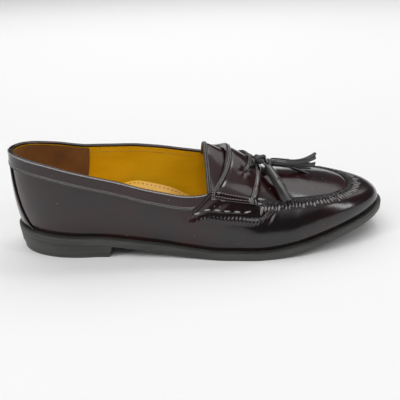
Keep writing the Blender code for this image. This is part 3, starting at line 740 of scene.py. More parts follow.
class Shading:
    """One material's nodes, added one at a time."""

    def __init__(self, name):
        self.material = bpy.data.materials.new(name)
        self.material.use_nodes = True
        self.shader = self.material.node_tree.nodes["Principled BSDF"]

    def add(self, kind, settings, values):
        """A node of a type, its settings and then the values or links of its sockets."""
        node = self.material.node_tree.nodes.new(kind)
        for key, value in settings.items():
            if key == "stops":
                set_stops(node.color_ramp, value)
            else:
                setattr(node, key, value)
        for key, value in values.items():
            self.fill(node.inputs[key], value)
        return node

    def fill(self, socket, value):
        if isinstance(value, Reading):
            self.material.node_tree.links.new(value.socket, socket)
        else:
            socket.default_value = value

    def place(self, stretch=(1.0, 1.0, 1.0), turn=(0.0, 0.0, 0.0)):
        """The place on the object, stretched or turned for a pattern with a direction."""
        where = Reading(self, self.add("ShaderNodeTexCoord", {}, {}).outputs["Object"])
        values = {"Vector": where, "Scale": stretch, "Rotation": turn}
        return Reading(self, self.add("ShaderNodeMapping", {}, values).outputs[0])

    def noise(self, scale, detail=3.0, where=None):
        values = {"Vector": where or self.place(), "Scale": scale, "Detail": detail}
        return Reading(self, self.add("ShaderNodeTexNoise", {}, values).outputs["Fac"])

    def cells(self, scale):
        """Distances to scattered points and a random colour round each."""
        return self.add("ShaderNodeTexVoronoi", {}, {"Vector": self.place(), "Scale": scale}).outputs

    def ramp(self, value, low, high):
        """0 below low and 1 above high."""
        stops = ((low, 0.0), (high, 1.0))
        return Reading(self, self.add("ShaderNodeValToRGB", {"stops": stops}, {"Fac": value}).outputs[0])

    def blend(self, first, second, share):
        """A colour between two, by a share."""
        node = self.add("ShaderNodeMix", {"data_type": "RGBA"}, {0: share, 6: first, 7: second})
        return Reading(self, node.outputs[2])

    def bump(self, height, distance, strength=1.0, under=None):
        values = {"Height": height, "Distance": distance, "Strength": strength}
        if under:
            values["Normal"] = under
        return Reading(self, self.add("ShaderNodeBump", {}, values).outputs[0])

    def finish(self, **values):
        """Sets or links the shader's sockets, whose names are written with underscores."""
        for name, value in values.items():
            self.fill(self.shader.inputs[name.replace("_", " ")], value)
        return self.material


def set_stops(ramp, stops, blue=1.0):
    """Sets a ramp's grey stops, adding those that it lacks."""
    while len(ramp.elements) < len(stops):
        ramp.elements.new(0.5)
    for element, (position, shade) in zip(ramp.elements, stops):
        element.position = position
        element.color = (shade, shade, shade * blue, 1.0)


def full(colour):
    return (*colour, 1.0)


def speckle(shading, scale, size, rarity):
    """Small scattered dots: a few of the cells hold one."""
    found = shading.cells(scale)
    return (Reading(shading, found["Distance"]) < size) * (Reading(shading, found["Color"]) > rarity)


def polished_leather(name, body, depth, roughness, waves=1.0):
    """Brushed-off box leather: near black over a dark red, with soft waves, pores and fine dust."""
    s = Shading(name)
    cloud = s.noise(22.0, 4.0)
    colour = s.blend(full(depth), full(body), s.ramp(cloud, 0.38, 0.62))
    scratch = s.ramp(s.noise(60.0, 6.0, s.place((1.0, 6.0, 9.0), (0.2, 0.5, 0.3))), 0.69, 0.74)
    rub = s.ramp(s.noise(9.0, 3.0), 0.5, 0.62)
    dust = speckle(s, 260.0, 0.12, 0.80)
    colour = s.blend(colour, full((0.10, 0.085, 0.08)), scratch * rub * 0.35)
    colour = s.blend(colour, full((0.28, 0.26, 0.24)), dust * 0.5)
    gloss = roughness + s.ramp(s.noise(75.0, 4.0), 0.35, 0.8) * 0.10 + scratch * rub * 0.12 + dust * 0.3
    bumps = None
    for scale, detail, distance in ((12.0, 1.0, 0.0050), (30.0, 2.0, 0.0018), (160.0, 3.0, 0.00016)):
        bumps = s.bump(s.noise(scale, detail), distance * waves, 0.5, bumps)
    pores = Reading(s, s.cells(1500.0)["Distance"])
    bumps = s.bump(pores, 0.00004, 0.5, bumps)
    return s.finish(Base_Color=colour, Roughness=gloss, Normal=bumps, Coat_Weight=0.25, Coat_Roughness=0.12)


def seam_leather(name, body):
    """Leather drawn up by its stitches: fine folds with painted shade in their hollows against lighter
    crests, and pale specks as painted glints.
    """
    s = Shading(name)
    folds = s.noise(300.0, 4.0)
    # Painted shade: the low parts of the folds keep the dark body colour and the raised parts turn lighter.
    colour = s.blend(full(body), full((0.022, 0.020, 0.019)), s.ramp(folds, 0.50, 0.72))
    # Painted highlight: small pale specks stand for glints along the seam.
    painted_glints = s.ramp(s.noise(520.0, 2.0), 0.62, 0.68)
    colour = s.blend(colour, full((0.26, 0.25, 0.24)), painted_glints * 0.7)
    bumps = s.bump(folds, 0.0016, 1.0)
    return s.finish(Base_Color=colour, Roughness=0.42 + folds * 0.2, Normal=bumps, Specular_IOR_Level=0.4)


def lace_leather(name, body, roughness):
    """Satin cut leather with a fine grain."""
    s = Shading(name)
    cloud = s.noise(180.0, 4.0)
    colour = s.blend(full(body), full([c * 2.2 + 0.004 for c in body]), s.ramp(cloud, 0.4, 0.75))
    bumps = s.bump(s.noise(700.0, 4.0), 0.00012, 0.6)
    gloss = roughness + cloud * 0.15
    return s.finish(Base_Color=colour, Roughness=gloss, Normal=bumps, Coat_Weight=0.8, Coat_Roughness=0.14)


def lining_leather(name, body, shade, roughness):
    """Dyed lining with soft creases and a pinkish rub."""
    s = Shading(name)
    cloud = s.noise(28.0, 4.0)
    colour = s.blend(full(body), full(shade), s.ramp(cloud, 0.42, 0.68))
    crease = s.noise(34.0, 3.0, s.place((1.0, 1.0, 3.0), (0.0, 0.25, 0.0)))
    bumps = s.bump(crease, 0.0018, 0.45)
    bumps = s.bump(s.noise(900.0, 3.0), 0.00006, 0.6, bumps)
    gloss = roughness + cloud * 0.12
    return s.finish(Base_Color=colour, Roughness=gloss, Normal=bumps, Specular_IOR_Level=0.3)


def suede(name, body, shade):
    """Short nap: dull, mottled and soft at its edges."""
    s = Shading(name)
    cloud = s.noise(60.0, 6.0)
    colour = s.blend(full(body), full(shade), s.ramp(cloud, 0.35, 0.7))
    bumps = s.bump(s.noise(1600.0, 4.0), 0.00018, 0.8)
    return s.finish(Base_Color=colour, Roughness=0.95, Normal=bumps, Sheen_Weight=0.08, Sheen_Roughness=0.6)


def sole_finish(name, body, edge):
    """Waxed sole edge: dark, satin and scuffed along its length."""
    s = Shading(name)
    streak = s.noise(40.0, 5.0, s.place((0.6, 0.6, 5.0)))
    colour = s.blend(full(body), full(edge), s.ramp(streak, 0.42, 0.75))
    scuff = s.ramp(s.noise(150.0, 5.0, s.place((1.0, 1.0, 4.0))), 0.66, 0.76)
    colour = s.blend(colour, full((0.16, 0.15, 0.13)), scuff * 0.4)
    gloss = 0.36 + streak * 0.2 + scuff * 0.15
    bumps = s.bump(s.noise(420.0, 3.0), 0.00008, 0.5)
    return s.finish(Base_Color=colour, Roughness=gloss, Normal=bumps)


def thread_finish(name, body, roughness):
    """Twisted waxed thread."""
    s = Shading(name)
    twist = s.noise(2600.0, 1.0, s.place((1.0, 1.0, 0.4)))
    colour = s.blend(full([c * 0.5 for c in body]), full(body), s.ramp(twist, 0.4, 0.6))
    return s.finish(Base_Color=colour, Roughness=roughness, Normal=s.bump(twist, 0.0001, 0.6))


# What a user may change
def colour_choice(name, description, default):
    return bpy.props.FloatVectorProperty(
        name=name, description=description, default=default, size=3, min=0.0, max=1.0, subtype="COLOR"
    )


def length_choice(name, description, default):
    return bpy.props.FloatProperty(
        name=name, description=description, default=default, min=0.0, precision=5, unit="LENGTH"
    )


class LoaferColours(bpy.types.PropertyGroup):
    """Colours of the leathers, the lining, the sole and the thread."""

    leather: colour_choice("Leather", "Upper leather where it looks near black", (0.0065, 0.0045, 0.0050))
    leather_depth: colour_choice("Leather depth", "Dark red under the polish", (0.021, 0.0030, 0.0042))
    lace: colour_choice("Lace", "Lace, knot and tassels", (0.0125, 0.0112, 0.0105))
    lining: colour_choice("Lining", "Mustard lining and insole", (0.78, 0.425, 0.0015))
    lining_rub: colour_choice("Lining rub", "Paler rubbed places of the lining", (0.84, 0.470, 0.006))
    insole: colour_choice("Insole", "Pinkish face of the insole's pad", (0.84, 0.500, 0.115))
    heel_lining: colour_choice("Heel lining", "Tan suede inside the heel", (0.25, 0.100, 0.016))
    sole: colour_choice("Sole", "Sole and heel", (0.034, 0.034, 0.030))
    # Both thread colours are pale partly as the thread's own colour and partly as painted highlight, standing
    # for the glints that the stitches catch.
    thread: colour_choice("Thread", "Seam and edge thread", (0.40, 0.385, 0.375))
    hand_thread: colour_choice("Hand thread", "Six large stitches of each wing", (0.40, 0.385, 0.375))
    cut_edge: colour_choice("Cut edge", "Raw edges of the leather", (0.060, 0.055, 0.052))
    lining_thread: colour_choice("Lining thread", "Thread inside the shoe", (0.55, 0.33, 0.12))
    floor: colour_choice("Floor", "Studio floor", (0.90, 0.90, 0.898))


class LoaferSizes(bpy.types.PropertyGroup):
    """Sizes of the seams, stitches, pleats, lace and tassels."""

    pleat_pitch: length_choice("Pleat pitch", "Distance between the gathers under the hand-sewn seam", 0.0027)
    pleat_depth: length_choice("Pleat depth", "Height of a gather", 0.0012)
    pleat_length: length_choice("Pleat length", "How far a gather runs down the wall", 0.0052)
    seam_width: length_choice("Seam width", "Width of the hand-sewn seam", 0.0044)
    seam_height: length_choice("Seam height", "Height of the hand-sewn seam", 0.0015)
    seam_pitch: length_choice("Seam pitch", "Distance between the seam's stitches", 0.0052)
    edge_pitch: length_choice("Edge pitch", "Distance between the stitches along edges", EDGE_PITCH)
    edge_thread: length_choice("Edge thread", "Thickness of the edge thread", EDGE_THREAD)
    hand_stitch: length_choice("Hand stitch", "Length of the large stitches of the wings", 0.0056)
    hand_thread: length_choice("Hand thread", "Thickness of the large stitches", 0.0015)
    lace_diameter: length_choice("Lace diameter", "Thickness of the leather lace", 0.0022)
    strip_width: length_choice("Strip width", "Width of a tassel's strip", 0.0038)
    strip_thickness: length_choice("Strip thickness", "Thickness of a tassel's strip", 0.0013)
    pinhole_pitch: length_choice("Pinhole pitch", "Distance between the insole's pinholes", 0.0037)
    pinhole: length_choice("Pinhole", "Diameter of a pinhole", 0.0017)


def colours():
    return bpy.context.scene.loafer_colours


def sizes():
    return bpy.context.scene.loafer_sizes


def look(name):
    """The finish of that name, made when it is first asked for."""
    if name not in bpy.data.materials:
        c = colours()
        leather = tuple(c.leather), tuple(c.leather_depth)
        rub = tuple(c.lining_rub)
        makers = {
            "upper leather": (polished_leather, *leather, 0.14),
            "strap leather": (polished_leather, *leather, 0.13, 0.6),
            "seam leather": (seam_leather, tuple(c.leather)),
            # Lighter leather for the pleat crests: a painted highlight of the light that they catch.
            "rubbed leather": (lace_leather, (0.110, 0.106, 0.106), 0.22),
            "lace leather": (lace_leather, tuple(c.lace), 0.28),
            "lining leather": (lining_leather, tuple(c.lining), rub, 0.42),
            "insole leather": (lining_leather, tuple(c.insole), rub, 0.38),
            "heel suede": (suede, tuple(c.heel_lining), tuple(v * 0.6 for v in c.heel_lining)),
            "sole edge": (sole_finish, tuple(c.sole), tuple(v * 1.7 for v in c.sole)),
            # Edge and hand thread: their pale colours carry painted highlight of the stitches' glints.
            "edge thread": (thread_finish, tuple(c.thread), 0.35),
            "cut edge": (thread_finish, tuple(c.cut_edge), 0.45),
            "hand thread": (thread_finish, tuple(c.hand_thread), 0.3),
            "lining thread": (thread_finish, tuple(c.lining_thread), 0.6),
            # Pinholes: dark beads as painted shade inside the holes.
            "pinhole": (thread_finish, (0.012, 0.005, 0.001), 0.9),
        }
        maker, *values = makers[name]
        maker(name, *values)
    return bpy.data.materials[name]


# The upper
PLEATS_FROM = {LATERAL: 0.637, MEDIAL: 0.655}
BAND_START = {LATERAL: 0.632, MEDIAL: 0.648}
PUCKER_DROP = 0.0022
PUCKER_WIDTH = 0.0052
PUCKER_HEIGHT = 0.0016


def seam_run(turn):
    """Distance along the top line from the outer strap end, for each of a run of turns."""
    fine = np.linspace(0, 6, 3001)
    return np.interp(turn, fine, run_along(top_edge(*turn_parts(fine))))


def seam_turns(starts, past, count):
    """Even turns round the apron's seam, each end so far past its start."""
    first, last = (around_at(starts[side] + past) for side in (LATERAL, MEDIAL))
    return np.linspace(first, 6 - last, count)


def seam_places(starts, past, pitch):
    """The number and the turn of each stitch or gather that the seam has room for."""
    turns = seam_turns(starts, past, 4000)
    run = seam_run(turns)
    count = np.arange(np.ceil(run[0] / pitch), run[-1] / pitch)
    return count, np.interp(count * pitch, run, turns)


def gather(side, around, count):
    """How large a gather of a number is, from 0 to 1, and how far it lies past where they begin."""
    start = np.where(side < 0, PLEATS_FROM[LATERAL], PLEATS_FROM[MEDIAL])
    vary = 0.5 + 0.5 * np.sin(count * 12.9898) * np.cos(count * 4.1414)
    return vary, top_place(around)[0] - start


def pleats(side, around, down, turn):
    """Gathers under the hand-sewn seam, each with a length of its own."""
    count = seam_run(turn) / sizes().pleat_pitch
    each = np.floor(count + 0.5)
    vary, past = gather(side, around, each)
    reach_down = sizes().pleat_length * (0.65 + 0.75 * vary)
    lean = 0.18 * np.sin(each * 2.3)
    ridge = np.abs(np.cos(pi * (count + lean * down / sizes().pleat_length))) ** 1.3
    fade = 1 - ease((down - 0.4 * sizes().seam_width) / reach_down)
    return sizes().pleat_depth * (0.6 + 0.6 * vary) * (ridge - 0.45) * fade * ease(past / 0.006)


def pucker(side, around, down):
    """The gathered ridge that runs on under the wing, turning up to the seam before it."""
    share = top_place(around)[0]
    p = (share - THROAT_PLACE) * SHOE_LENGTH / WING_LENGTH
    drop = mix(WING_DROP_REAR, WING_DROP_FRONT, np.clip(p, -0.5, 1)) + PUCKER_DROP + 0.5 * PUCKER_WIDTH
    drop = drop - 0.0125 * ease((p - 1.0) / 0.32)
    away = (down - drop) / (PUCKER_WIDTH / 2)
    hump = np.clip(1 - away**2, 0, 1) ** 1.3
    window = ease((p + 0.40) / 0.24) * (1 - ease((p - 1.22) / 0.12))
    x = share * SHOE_LENGTH
    folds = 0.72 + 0.28 * np.cos(2 * pi * (x + 0.25 * (down - drop)) / 0.0029)
    crumple = 0.5 * np.sin(x * 1450 + down * 900) * np.sin(x * 610 - down * 1300)
    front = ease((p - 0.9) / 0.15)
    return PUCKER_HEIGHT * hump * window * (folds + 0.6 * front * crumple)


# Main creases of the worn vamp: place along the top line, lean, depth, width, and where on the wall
CREASES = (
    (0.655, 0.30, 0.00050, 0.0022, 0.007, 0.020),
    (0.672, 0.12, 0.00035, 0.0020, 0.009, 0.021),
    (0.440, -0.10, 0.00030, 0.0040, 0.018, 0.034),
    (0.300, 0.15, 0.00025, 0.0050, 0.020, 0.040),
)


def creases(around, down):
    share = top_place(around)[0]
    lift = 0.0
    for place, lean, depth, width, top, foot in CREASES:
        middle, half = (top + foot) / 2, (foot - top) / 2
        away = (share - place) * SHOE_LENGTH + lean * (down - middle)
        window = ease(2 - 2 * np.abs(down - middle) / half)
        trough = np.exp(-((away / width) ** 2))
        ridge = np.exp(-((away / width - 1.6) ** 2))
        lift = lift + depth * window * (0.7 * ridge - trough)
    return lift


def upper_turns():
    """Places round the shoe: close together where the seam is gathered."""
    first, last = (around_at(PLEATS_FROM[side] - 0.01) for side in (LATERAL, MEDIAL))
    wing = around_at(THROAT_PLACE - 0.07)
    ends = (0, wing, first, 6 - last, 6 - wing, 6)
    runs = zip(ends, ends[1:], (90, 120, 860, 90, 90))
    return np.concatenate([*(np.linspace(a, b, count, endpoint=False) for a, b, count in runs), [6]])


def upper_wall():
    """The side walls all round, gathered at the seam, with the leather turned in at the top."""
    near = GATHERED_DEPTH
    rows = np.concatenate([[-2.0, -1.0], np.linspace(0, near, 20), near + np.linspace(0, 1, 24)[1:]])

    def place(turn, row):
        side, around = turn_parts(turn)
        length = wall_length(side, around)
        down = np.where(row > near, mix(near, length, row - near), np.maximum(row, 0.0))
        relief = pleats(side, around, down, turn) + pucker(side, around, down) + creases(around, down)
        relief = relief * ease((length - down) / 0.004)
        turned = np.where(row < -1.5, 0.0035, np.where(row < -0.5, 0.0004, down))
        return on_wall(side, around, turned, np.where(row < -0.5, -0.0009, relief - 0.0001))

    piece = laid("upper_wall", upper_turns(), rows, place, turned=True)
    return dressed(piece, look("upper leather"), "upper", slot="upper_leather")


def apron_relief(around, across):
    """Soft waves of the apron where it bends, and its roll down to the seam."""
    share, cap = top_place(around)
    short = (1 - np.abs(across)) * seam_half(side_of(across), share) * cap
    lift = -0.0004 * np.exp(-(((short - 0.0022) / 0.0011) ** 2))
    bends = ((0.675, 0.004 * np.abs(across), 0.0035, 0.00035), (0.705, 0.003 * across, 0.003, 0.00025))
    for place, bow, width, depth in bends:
        away = (share - place) * SHOE_LENGTH + bow
        lift = lift - depth * np.exp(-((away / width) ** 2)) * (1 - across**2)
    return lift


def apron():
    """The smooth top panel before the throat."""
    straight = np.linspace(THROAT_AROUND, 2, 60, endpoint=False)
    along = np.concatenate([straight, 2 + np.linspace(0, 1, 90) ** 0.85])
    over = np.sin(np.linspace(-pi / 2, pi / 2, 73))

    def place(around, across):
        return on_apron(around, across, apron_relief(around, across))

    piece = laid("apron", along, over, place)
    return dressed(thicken(piece, 0.0009, 0), look("upper leather"), slot="upper_leather")


def seam_frame(turn):
    """Places on the top line with the directions out of the seam and down the wall."""
    side, around = turn_parts(turn)
    step = 2e-3
    ahead = top_edge(*turn_parts(np.minimum(turn + step, 6)))
    behind = top_edge(*turn_parts(np.maximum(turn - step, 0)))
    along = unit(ahead - behind)
    near = np.clip(around, 0, 2.97)
    up = unit(wall_normal(side, around, np.full(np.shape(around), 1.0)) + apron_normal(near, side * 0.97))
    up = unit(up - along * np.sum(up * along, axis=-1, keepdims=True))
    return top_edge(side, around), along, up, np.cross(along, up)


def hand_sewn_seam():
    """The raised seam round the apron, drawn in at every stitch."""
    def place(turn, angle):
        point, along, up, down = seam_frame(turn)
        run = seam_run(turn)
        drawn = np.abs(np.sin(pi * run / sizes().seam_pitch)) ** 0.55
        wrinkle = 1 + 0.10 * np.sin(run * 5200 + 2 * angle) + 0.08 * np.sin(run * 2900 - 3 * angle)
        high = sizes().seam_height * (0.50 + 0.50 * drawn) * wrinkle
        wide = sizes().seam_width / 2 * (0.82 + 0.18 * drawn)
        aside = np.cos(angle) * wide - SEAM_INSET
        return point + down * aside[:, None] + up * (np.sin(angle) * high)[:, None]

    angles = np.linspace(-0.25, pi + 0.25, 15)
    piece = laid("hand_sewn_seam", seam_turns(BAND_START, 0, 760), angles, place, turned=True)
    return dressed(piece, look("seam leather"), slot="upper_leather")


def seam_stitches():
    """Thread that crosses the seam at each place where it is drawn in."""
    point, along, up, down = seam_frame(seam_places(BAND_START, 0.01, sizes().seam_pitch)[1])
    wide, high = sizes().seam_width * 0.5, sizes().seam_height
    spots, ways, rises = [], [], []
    for a in (0.18 * pi, 0.5 * pi, 0.82 * pi):
        spots.append(point + down * np.cos(a) * wide * 0.97 + up * np.sin(a) * high * 0.80)
        ways.append(unit(-down * np.sin(a) * wide + up * np.cos(a) * high + along * 0.0006))
        rises.append(unit(down * np.cos(a) * high + up * np.sin(a) * wide))
    spots, ways, rises = (np.concatenate(each) for each in (spots, ways, rises))
    scales = np.tile(SEAM_STITCH, (len(spots), 1))
    return dressed(repeated("seam_stitches", bead(), spots, ways, rises, scales), look("cut edge"))


def pleat_crest_highlights():
    """A pale bead on the crest of each gather under the seam: its lighter colour is a painted highlight of
    the light that the crests catch from above.
    """
    count, turns = seam_places(PLEATS_FROM, 0.006, sizes().pleat_pitch)
    side, around = turn_parts(turns)
    vary, past = gather(side, around, count)
    large = 1 + 0.6 * np.exp(-past / 0.025)
    length = sizes().pleat_length * (0.75 + 0.65 * vary) * large
    top = sizes().seam_width * 0.42
    crest = sizes().pleat_depth * 0.30
    upper = on_wall(side, around, top, crest)
    lean = 0.0008 * np.sin(count * 2.3) + 0.007 * ease((top_place(around)[0] - 0.70) / 0.12)
    foot = on_wall(side, np.minimum(around + lean, 3), top + length, crest * 0.2)
    up = wall_normal(side, around, 1 - (top + length / 2) / wall_length(side, around))
    scales = [np.linalg.norm(foot - upper, axis=1), (0.0011 + 0.0007 * vary) * large, 0.0008 * large]
    middle, scales = (upper + foot) / 2, np.stack(scales, axis=1)
    # The beads' pale finish is painted highlight on the crests.
    made = repeated("pleat_crest_highlights", bead(8, 7), middle, unit(foot - upper), up, scales)
    return dressed(made, look("rubbed leather"))


# Throat, strap and wings
def tongue_spot(run, across, lift):
    return on_instep(run, across, lift - UPPER_WALL - 2 * GAP)


def tongue():
    """The throat piece that stands up behind the strap."""
    runs = np.linspace(-TONGUE_REACH, TONGUE_TUCK, 40)
    over = np.linspace(-THROAT_REACH, THROAT_REACH, 61)
    piece = laid("tongue", runs, over, lambda run, across: tongue_spot(run, across, 0.0))
    thicken(piece, TONGUE_THICKNESS * 0.6)
    return dressed(piece, look("strap leather"), "tongue", slot="upper_leather")


def lifted(rule, lift):
    """Points of a surface's rule at a lift from it, with the directions out of it."""
    points = rule(lift)
    return points, unit(rule(lift + PROBE) - points)


def beside(points, normals):
    """Directions square to a path, in the surface that it runs over."""
    return unit(np.cross(normals, np.gradient(points, axis=0)))


def swept(name, points, normals, angles, wide, high):
    """A rounded section along a path: so wide to each side of it and so high out of the surface."""
    side = beside(points, normals)

    def place(step, angle):
        i = step.astype(int)
        offset = side[i] * (np.cos(angle) * wide)[:, None] + normals[i] * (np.sin(angle) * high)[:, None]
        return points[i] + offset

    return laid(name, np.arange(len(points)), angles, place)


def raised_band(name, points, normals, width, height, crown=9):
    """A narrow rounded band along a path, such as a rib or a bound edge."""
    return swept(name, points, normals, np.linspace(-0.2, pi + 0.2, crown), width / 2, height)


def throat_edge():
    """The bound edge of the throat with its two rows of stitches."""
    over = np.linspace(-THROAT_REACH, THROAT_REACH, 160)
    run = THROAT_EDGE_WIDTH / 2 - 0.0001 - TONGUE_REACH
    path, normal = lifted(lambda lift: tongue_spot(run, over, lift), 0.0)
    side, out = beside(path, normal), Vector(normal.mean(axis=0))
    band = raised_band("throat_edge", path, normal, THROAT_EDGE_WIDTH, 0.0006)
    toward(band, lambda centre: out)
    dressed(band, look("seam leather"), slot="upper_leather")
    rows = [(path + side * shift + normal * 0.00056, normal) for shift in (-0.0008, 0.0008)]
    stitches("throat_stitches", rows)
    cut_edge("throat_cut_edge", path + side * THROAT_EDGE_WIDTH / 2, normal)


def cut_edge(name, points, normals, width=0.0008, finish="cut edge"):
    """The pale raw edge of a cut leather, as a fine bead along it; in a paler finish, a painted highlight
    line along an edge.
    """
    piece = swept(name, points, normals, np.linspace(-pi, pi, 7), width / 2, width / 2)
    return dressed(outward(piece), look(finish))


def strap_seat(around, across):
    short = (1 - np.abs(across)) * seam_half(side_of(across), top_place(around)[0])
    return OVERLAY_GAP + (WING_THICKNESS + 3 * GAP) * ease(1 - short / STRAP_CLIMB)


def on_strap(run, across, lift=0.0):
    """A point over the strap's outer face, at a distance forward of its back edge."""
    around = around_at(THROAT_PLACE + run / SHOE_LENGTH)
    return on_apron(around, across, strap_seat(around, across) + STRAP_THICKNESS + lift)


def punch_eyelet(piece, side):
    """Cuts one of the strap's holes for the lace."""
    around = around_at(THROAT_PLACE + LACE_PLACE / SHOE_LENGTH)
    low, high = (on_apron(around, side * EYELET_ACROSS, lift) for lift in (-0.002, 0.008))
    axis = Vector(high - low)
    deselect()
    bpy.ops.mesh.primitive_cylinder_add(
        vertices=20, radius=EYELET_DIAMETER / 2, depth=axis.length,
        location=(low + high) / 2 - MIDDLE, rotation=axis.to_track_quat("Z", "Y").to_euler(),
    )
    punch = bpy.context.object
    cut = piece.modifiers.new("eyelet", "BOOLEAN")
    cut.operation = "DIFFERENCE"
    cut.object = punch
    apply_all(piece)
    bpy.data.objects.remove(punch, do_unlink=True)


def strap():
    """The saddle over the instep, soft at its edges, with its eyelets punched."""
    def place(run, across):
        lift = -0.00045 * np.exp(-(((run - STRAP_RIB_WIDTH - 0.001) / 0.0010) ** 2))
        lift -= 0.0003 * np.exp(-(((STRAP_WIDTH - STRAP_BORDER_WIDTH - 0.0008 - run) / 0.0008) ** 2))
        for side in (LATERAL, MEDIAL):
            ahead, aside = run - LACE_PLACE, (across - side * EYELET_ACROSS) * HALF_SADDLE
            away = np.hypot(ahead, aside)
            folds = np.cos(5 * np.arctan2(aside, ahead) + 1.0)
            lift -= 0.0007 * np.exp(-((away / 0.0028) ** 2))
            lift -= 0.00018 * np.exp(-((away / 0.0055) ** 2)) * folds
        return on_strap(run, across, lift)

    piece = laid("strap", np.linspace(0, STRAP_WIDTH, 52), np.linspace(-STRAP_REACH, STRAP_REACH, 121), place)
    thicken(piece, STRAP_THICKNESS + OVERLAY_GAP * 0.8, 0.0004)
    for side in (LATERAL, MEDIAL):
        punch_eyelet(piece, side)
    return dressed(smooth(piece, 50), look("strap leather"), "strap", slot="upper_leather")


def strap_path(run, lift=0.0):
    """A path over the strap from end to end, with the directions out of it."""
    over = np.linspace(-STRAP_REACH, STRAP_REACH, 260)
    return lifted(lambda lift: on_strap(run, over, lift), lift)


def strap_band(name, middle, width, height, finish):
    """A rib or border over the strap from end to end."""
    points, normal = strap_path(middle, -0.0002)
    band = raised_band(name, points, normal, width, height)
    toward(band, lambda centre: Vector((0, 0, 1)))
    dressed(band, look(finish), slot="upper_leather")
    return points, normal


def strap_rows():
    """The raised rear rib, the folded front border, their stitches and the strap's cut ends."""
    middle = STRAP_RIB_WIDTH * 0.5 + 0.0002
    points, normal = strap_band("strap_rib", middle, STRAP_RIB_WIDTH, 0.0013, "seam leather")
    side = beside(points, normal)
    rows = [(points + side * shift + normal * 0.0012, normal) for shift in (-0.00065, 0.00065)]
    stitches("strap_rib_stitches", rows)
    border = STRAP_WIDTH - STRAP_BORDER_WIDTH
    strap_band("strap_border", border + STRAP_BORDER_WIDTH / 2, STRAP_BORDER_WIDTH, 0.0008, "strap leather")
    rows = [strap_path(border - shift, 0.00005) for shift in (0.0002, 0.0014)]
    stitches("strap_border_stitches", rows)

    def end(side, first, last, count, shift, lift):
        run, across = np.linspace(first, last, count), side * (STRAP_REACH - shift / HALF_SADDLE)
        return lifted(lambda lift: on_strap(run, across, lift), lift)

    rows = [end(side, 0.003, STRAP_WIDTH - 0.002, 60, shift, 0.00005)
            for side in (LATERAL, MEDIAL) for shift in (0.0026, 0.0038)]
    stitches("strap_end_stitches", rows)
    for side, word in WORDS.items():
        cut_edge("strap_cut_edge_" + word, *end(side, 0.0006, STRAP_WIDTH - 0.0006, 80, 0.0003, -0.0003))


def wing_spot(side, p, q, lift):
    """A place on a wing: p from its back to its front, q from its foot to the strap."""
    corner = np.maximum(0.0, 1 - 10 * p) ** 2 + np.maximum(0.0, 10 * p - 9) ** 2
    drop = mix(WING_DROP_REAR, WING_DROP_FRONT, p) - WING_CORNER * corner
    rake = mix(WING_RAKE * drop / WING_DROP_REAR, 0.0, q)
    around = around_at(THROAT_PLACE + (p * WING_LENGTH - rake) / SHOE_LENGTH)
    return on_wall(side, around, 0.0004 + drop * (1 - q), lift)


def wing_line(side, p, q, sink=0.0):
    """A path on a wing's face, sunk a little into it, with the directions out of it."""
    return lifted(lambda lift: wing_spot(side, p, q, lift), WING_FACE - sink)


def wing_stitches(name, side, spots, high, scales):
    """Large stitches in a row along a wing."""
    points, up = wing_line(side, spots, high)
    ahead = wing_spot(side, spots + 0.01, high, WING_FACE)
    made = repeated(name + WORDS[side], bead(10, 7), points, unit(ahead - points), up, scales)
    return dressed(made, look("hand thread"))


def wing(side):
    """One lower end of the saddle with its rounded edge and six large stitches."""
    word = WORDS[side]
    p = ease(np.linspace(0.02, 0.98, 70))
    p = (p - p[0]) / (p[-1] - p[0])

    def place(a, b):
        sag = 0.0002 * np.sin(a * 21) * (1 - b)
        return wing_spot(side, a, b, WING_FACE + sag)

    piece = laid("wing_" + word, p, np.linspace(0, 1, 28), place, turned=side == MEDIAL)
    thicken(piece, WING_THICKNESS + OVERLAY_GAP * 0.8, 0.00045)
    dressed(piece, look("strap leather"), "wing_" + word, slot="upper_leather")
    stitch, thread = sizes().hand_stitch, sizes().hand_thread
    scales = [(stitch * (0.92 + 0.1 * sin(3 * k)), thread, 0.0013) for k in range(6)]
    wing_stitches("hand_stitches_", side, np.linspace(0.105, 0.945, 6), 0.0018 / WING_DROP_REAR, scales)
    scales = [(stitch * 0.7, thread * 0.7, 0.0010)] * 2
    wing_stitches("strap_tacks_", side, np.array([0.15, 0.31]), 0.745, scales)
    cut_edge("wing_cut_edge_" + word, *wing_line(side, 0.004, np.linspace(0.02, 0.99, 60), 0.0002), 0.0009)
    cut_edge("wing_foot_edge_" + word, *wing_line(side, np.linspace(0.03, 0.97, 120), 0.001, 0.0005), 0.0009)


def collar_spot(step, q, lift):
    """A place on the collar band: step from the outer wing round the heel, q from its foot up."""
    rake = (1 - q) * WING_RAKE * BAND_HEIGHT / WING_DROP_REAR
    end = around_at(THROAT_PLACE - (BAND_CLEARANCE + rake) / SHOE_LENGTH)
    return on_wall(side_of(step), np.abs(step) * end, BAND_HEIGHT * (1 - q), lift)


def collar_line(q, lift=0.0):
    """A path round the collar band at a height on it, with the directions out of it."""
    fine = np.linspace(-0.995, 0.995, 900)
    return lifted(lambda lift: collar_spot(fine, q, lift), BAND_FACE + lift)


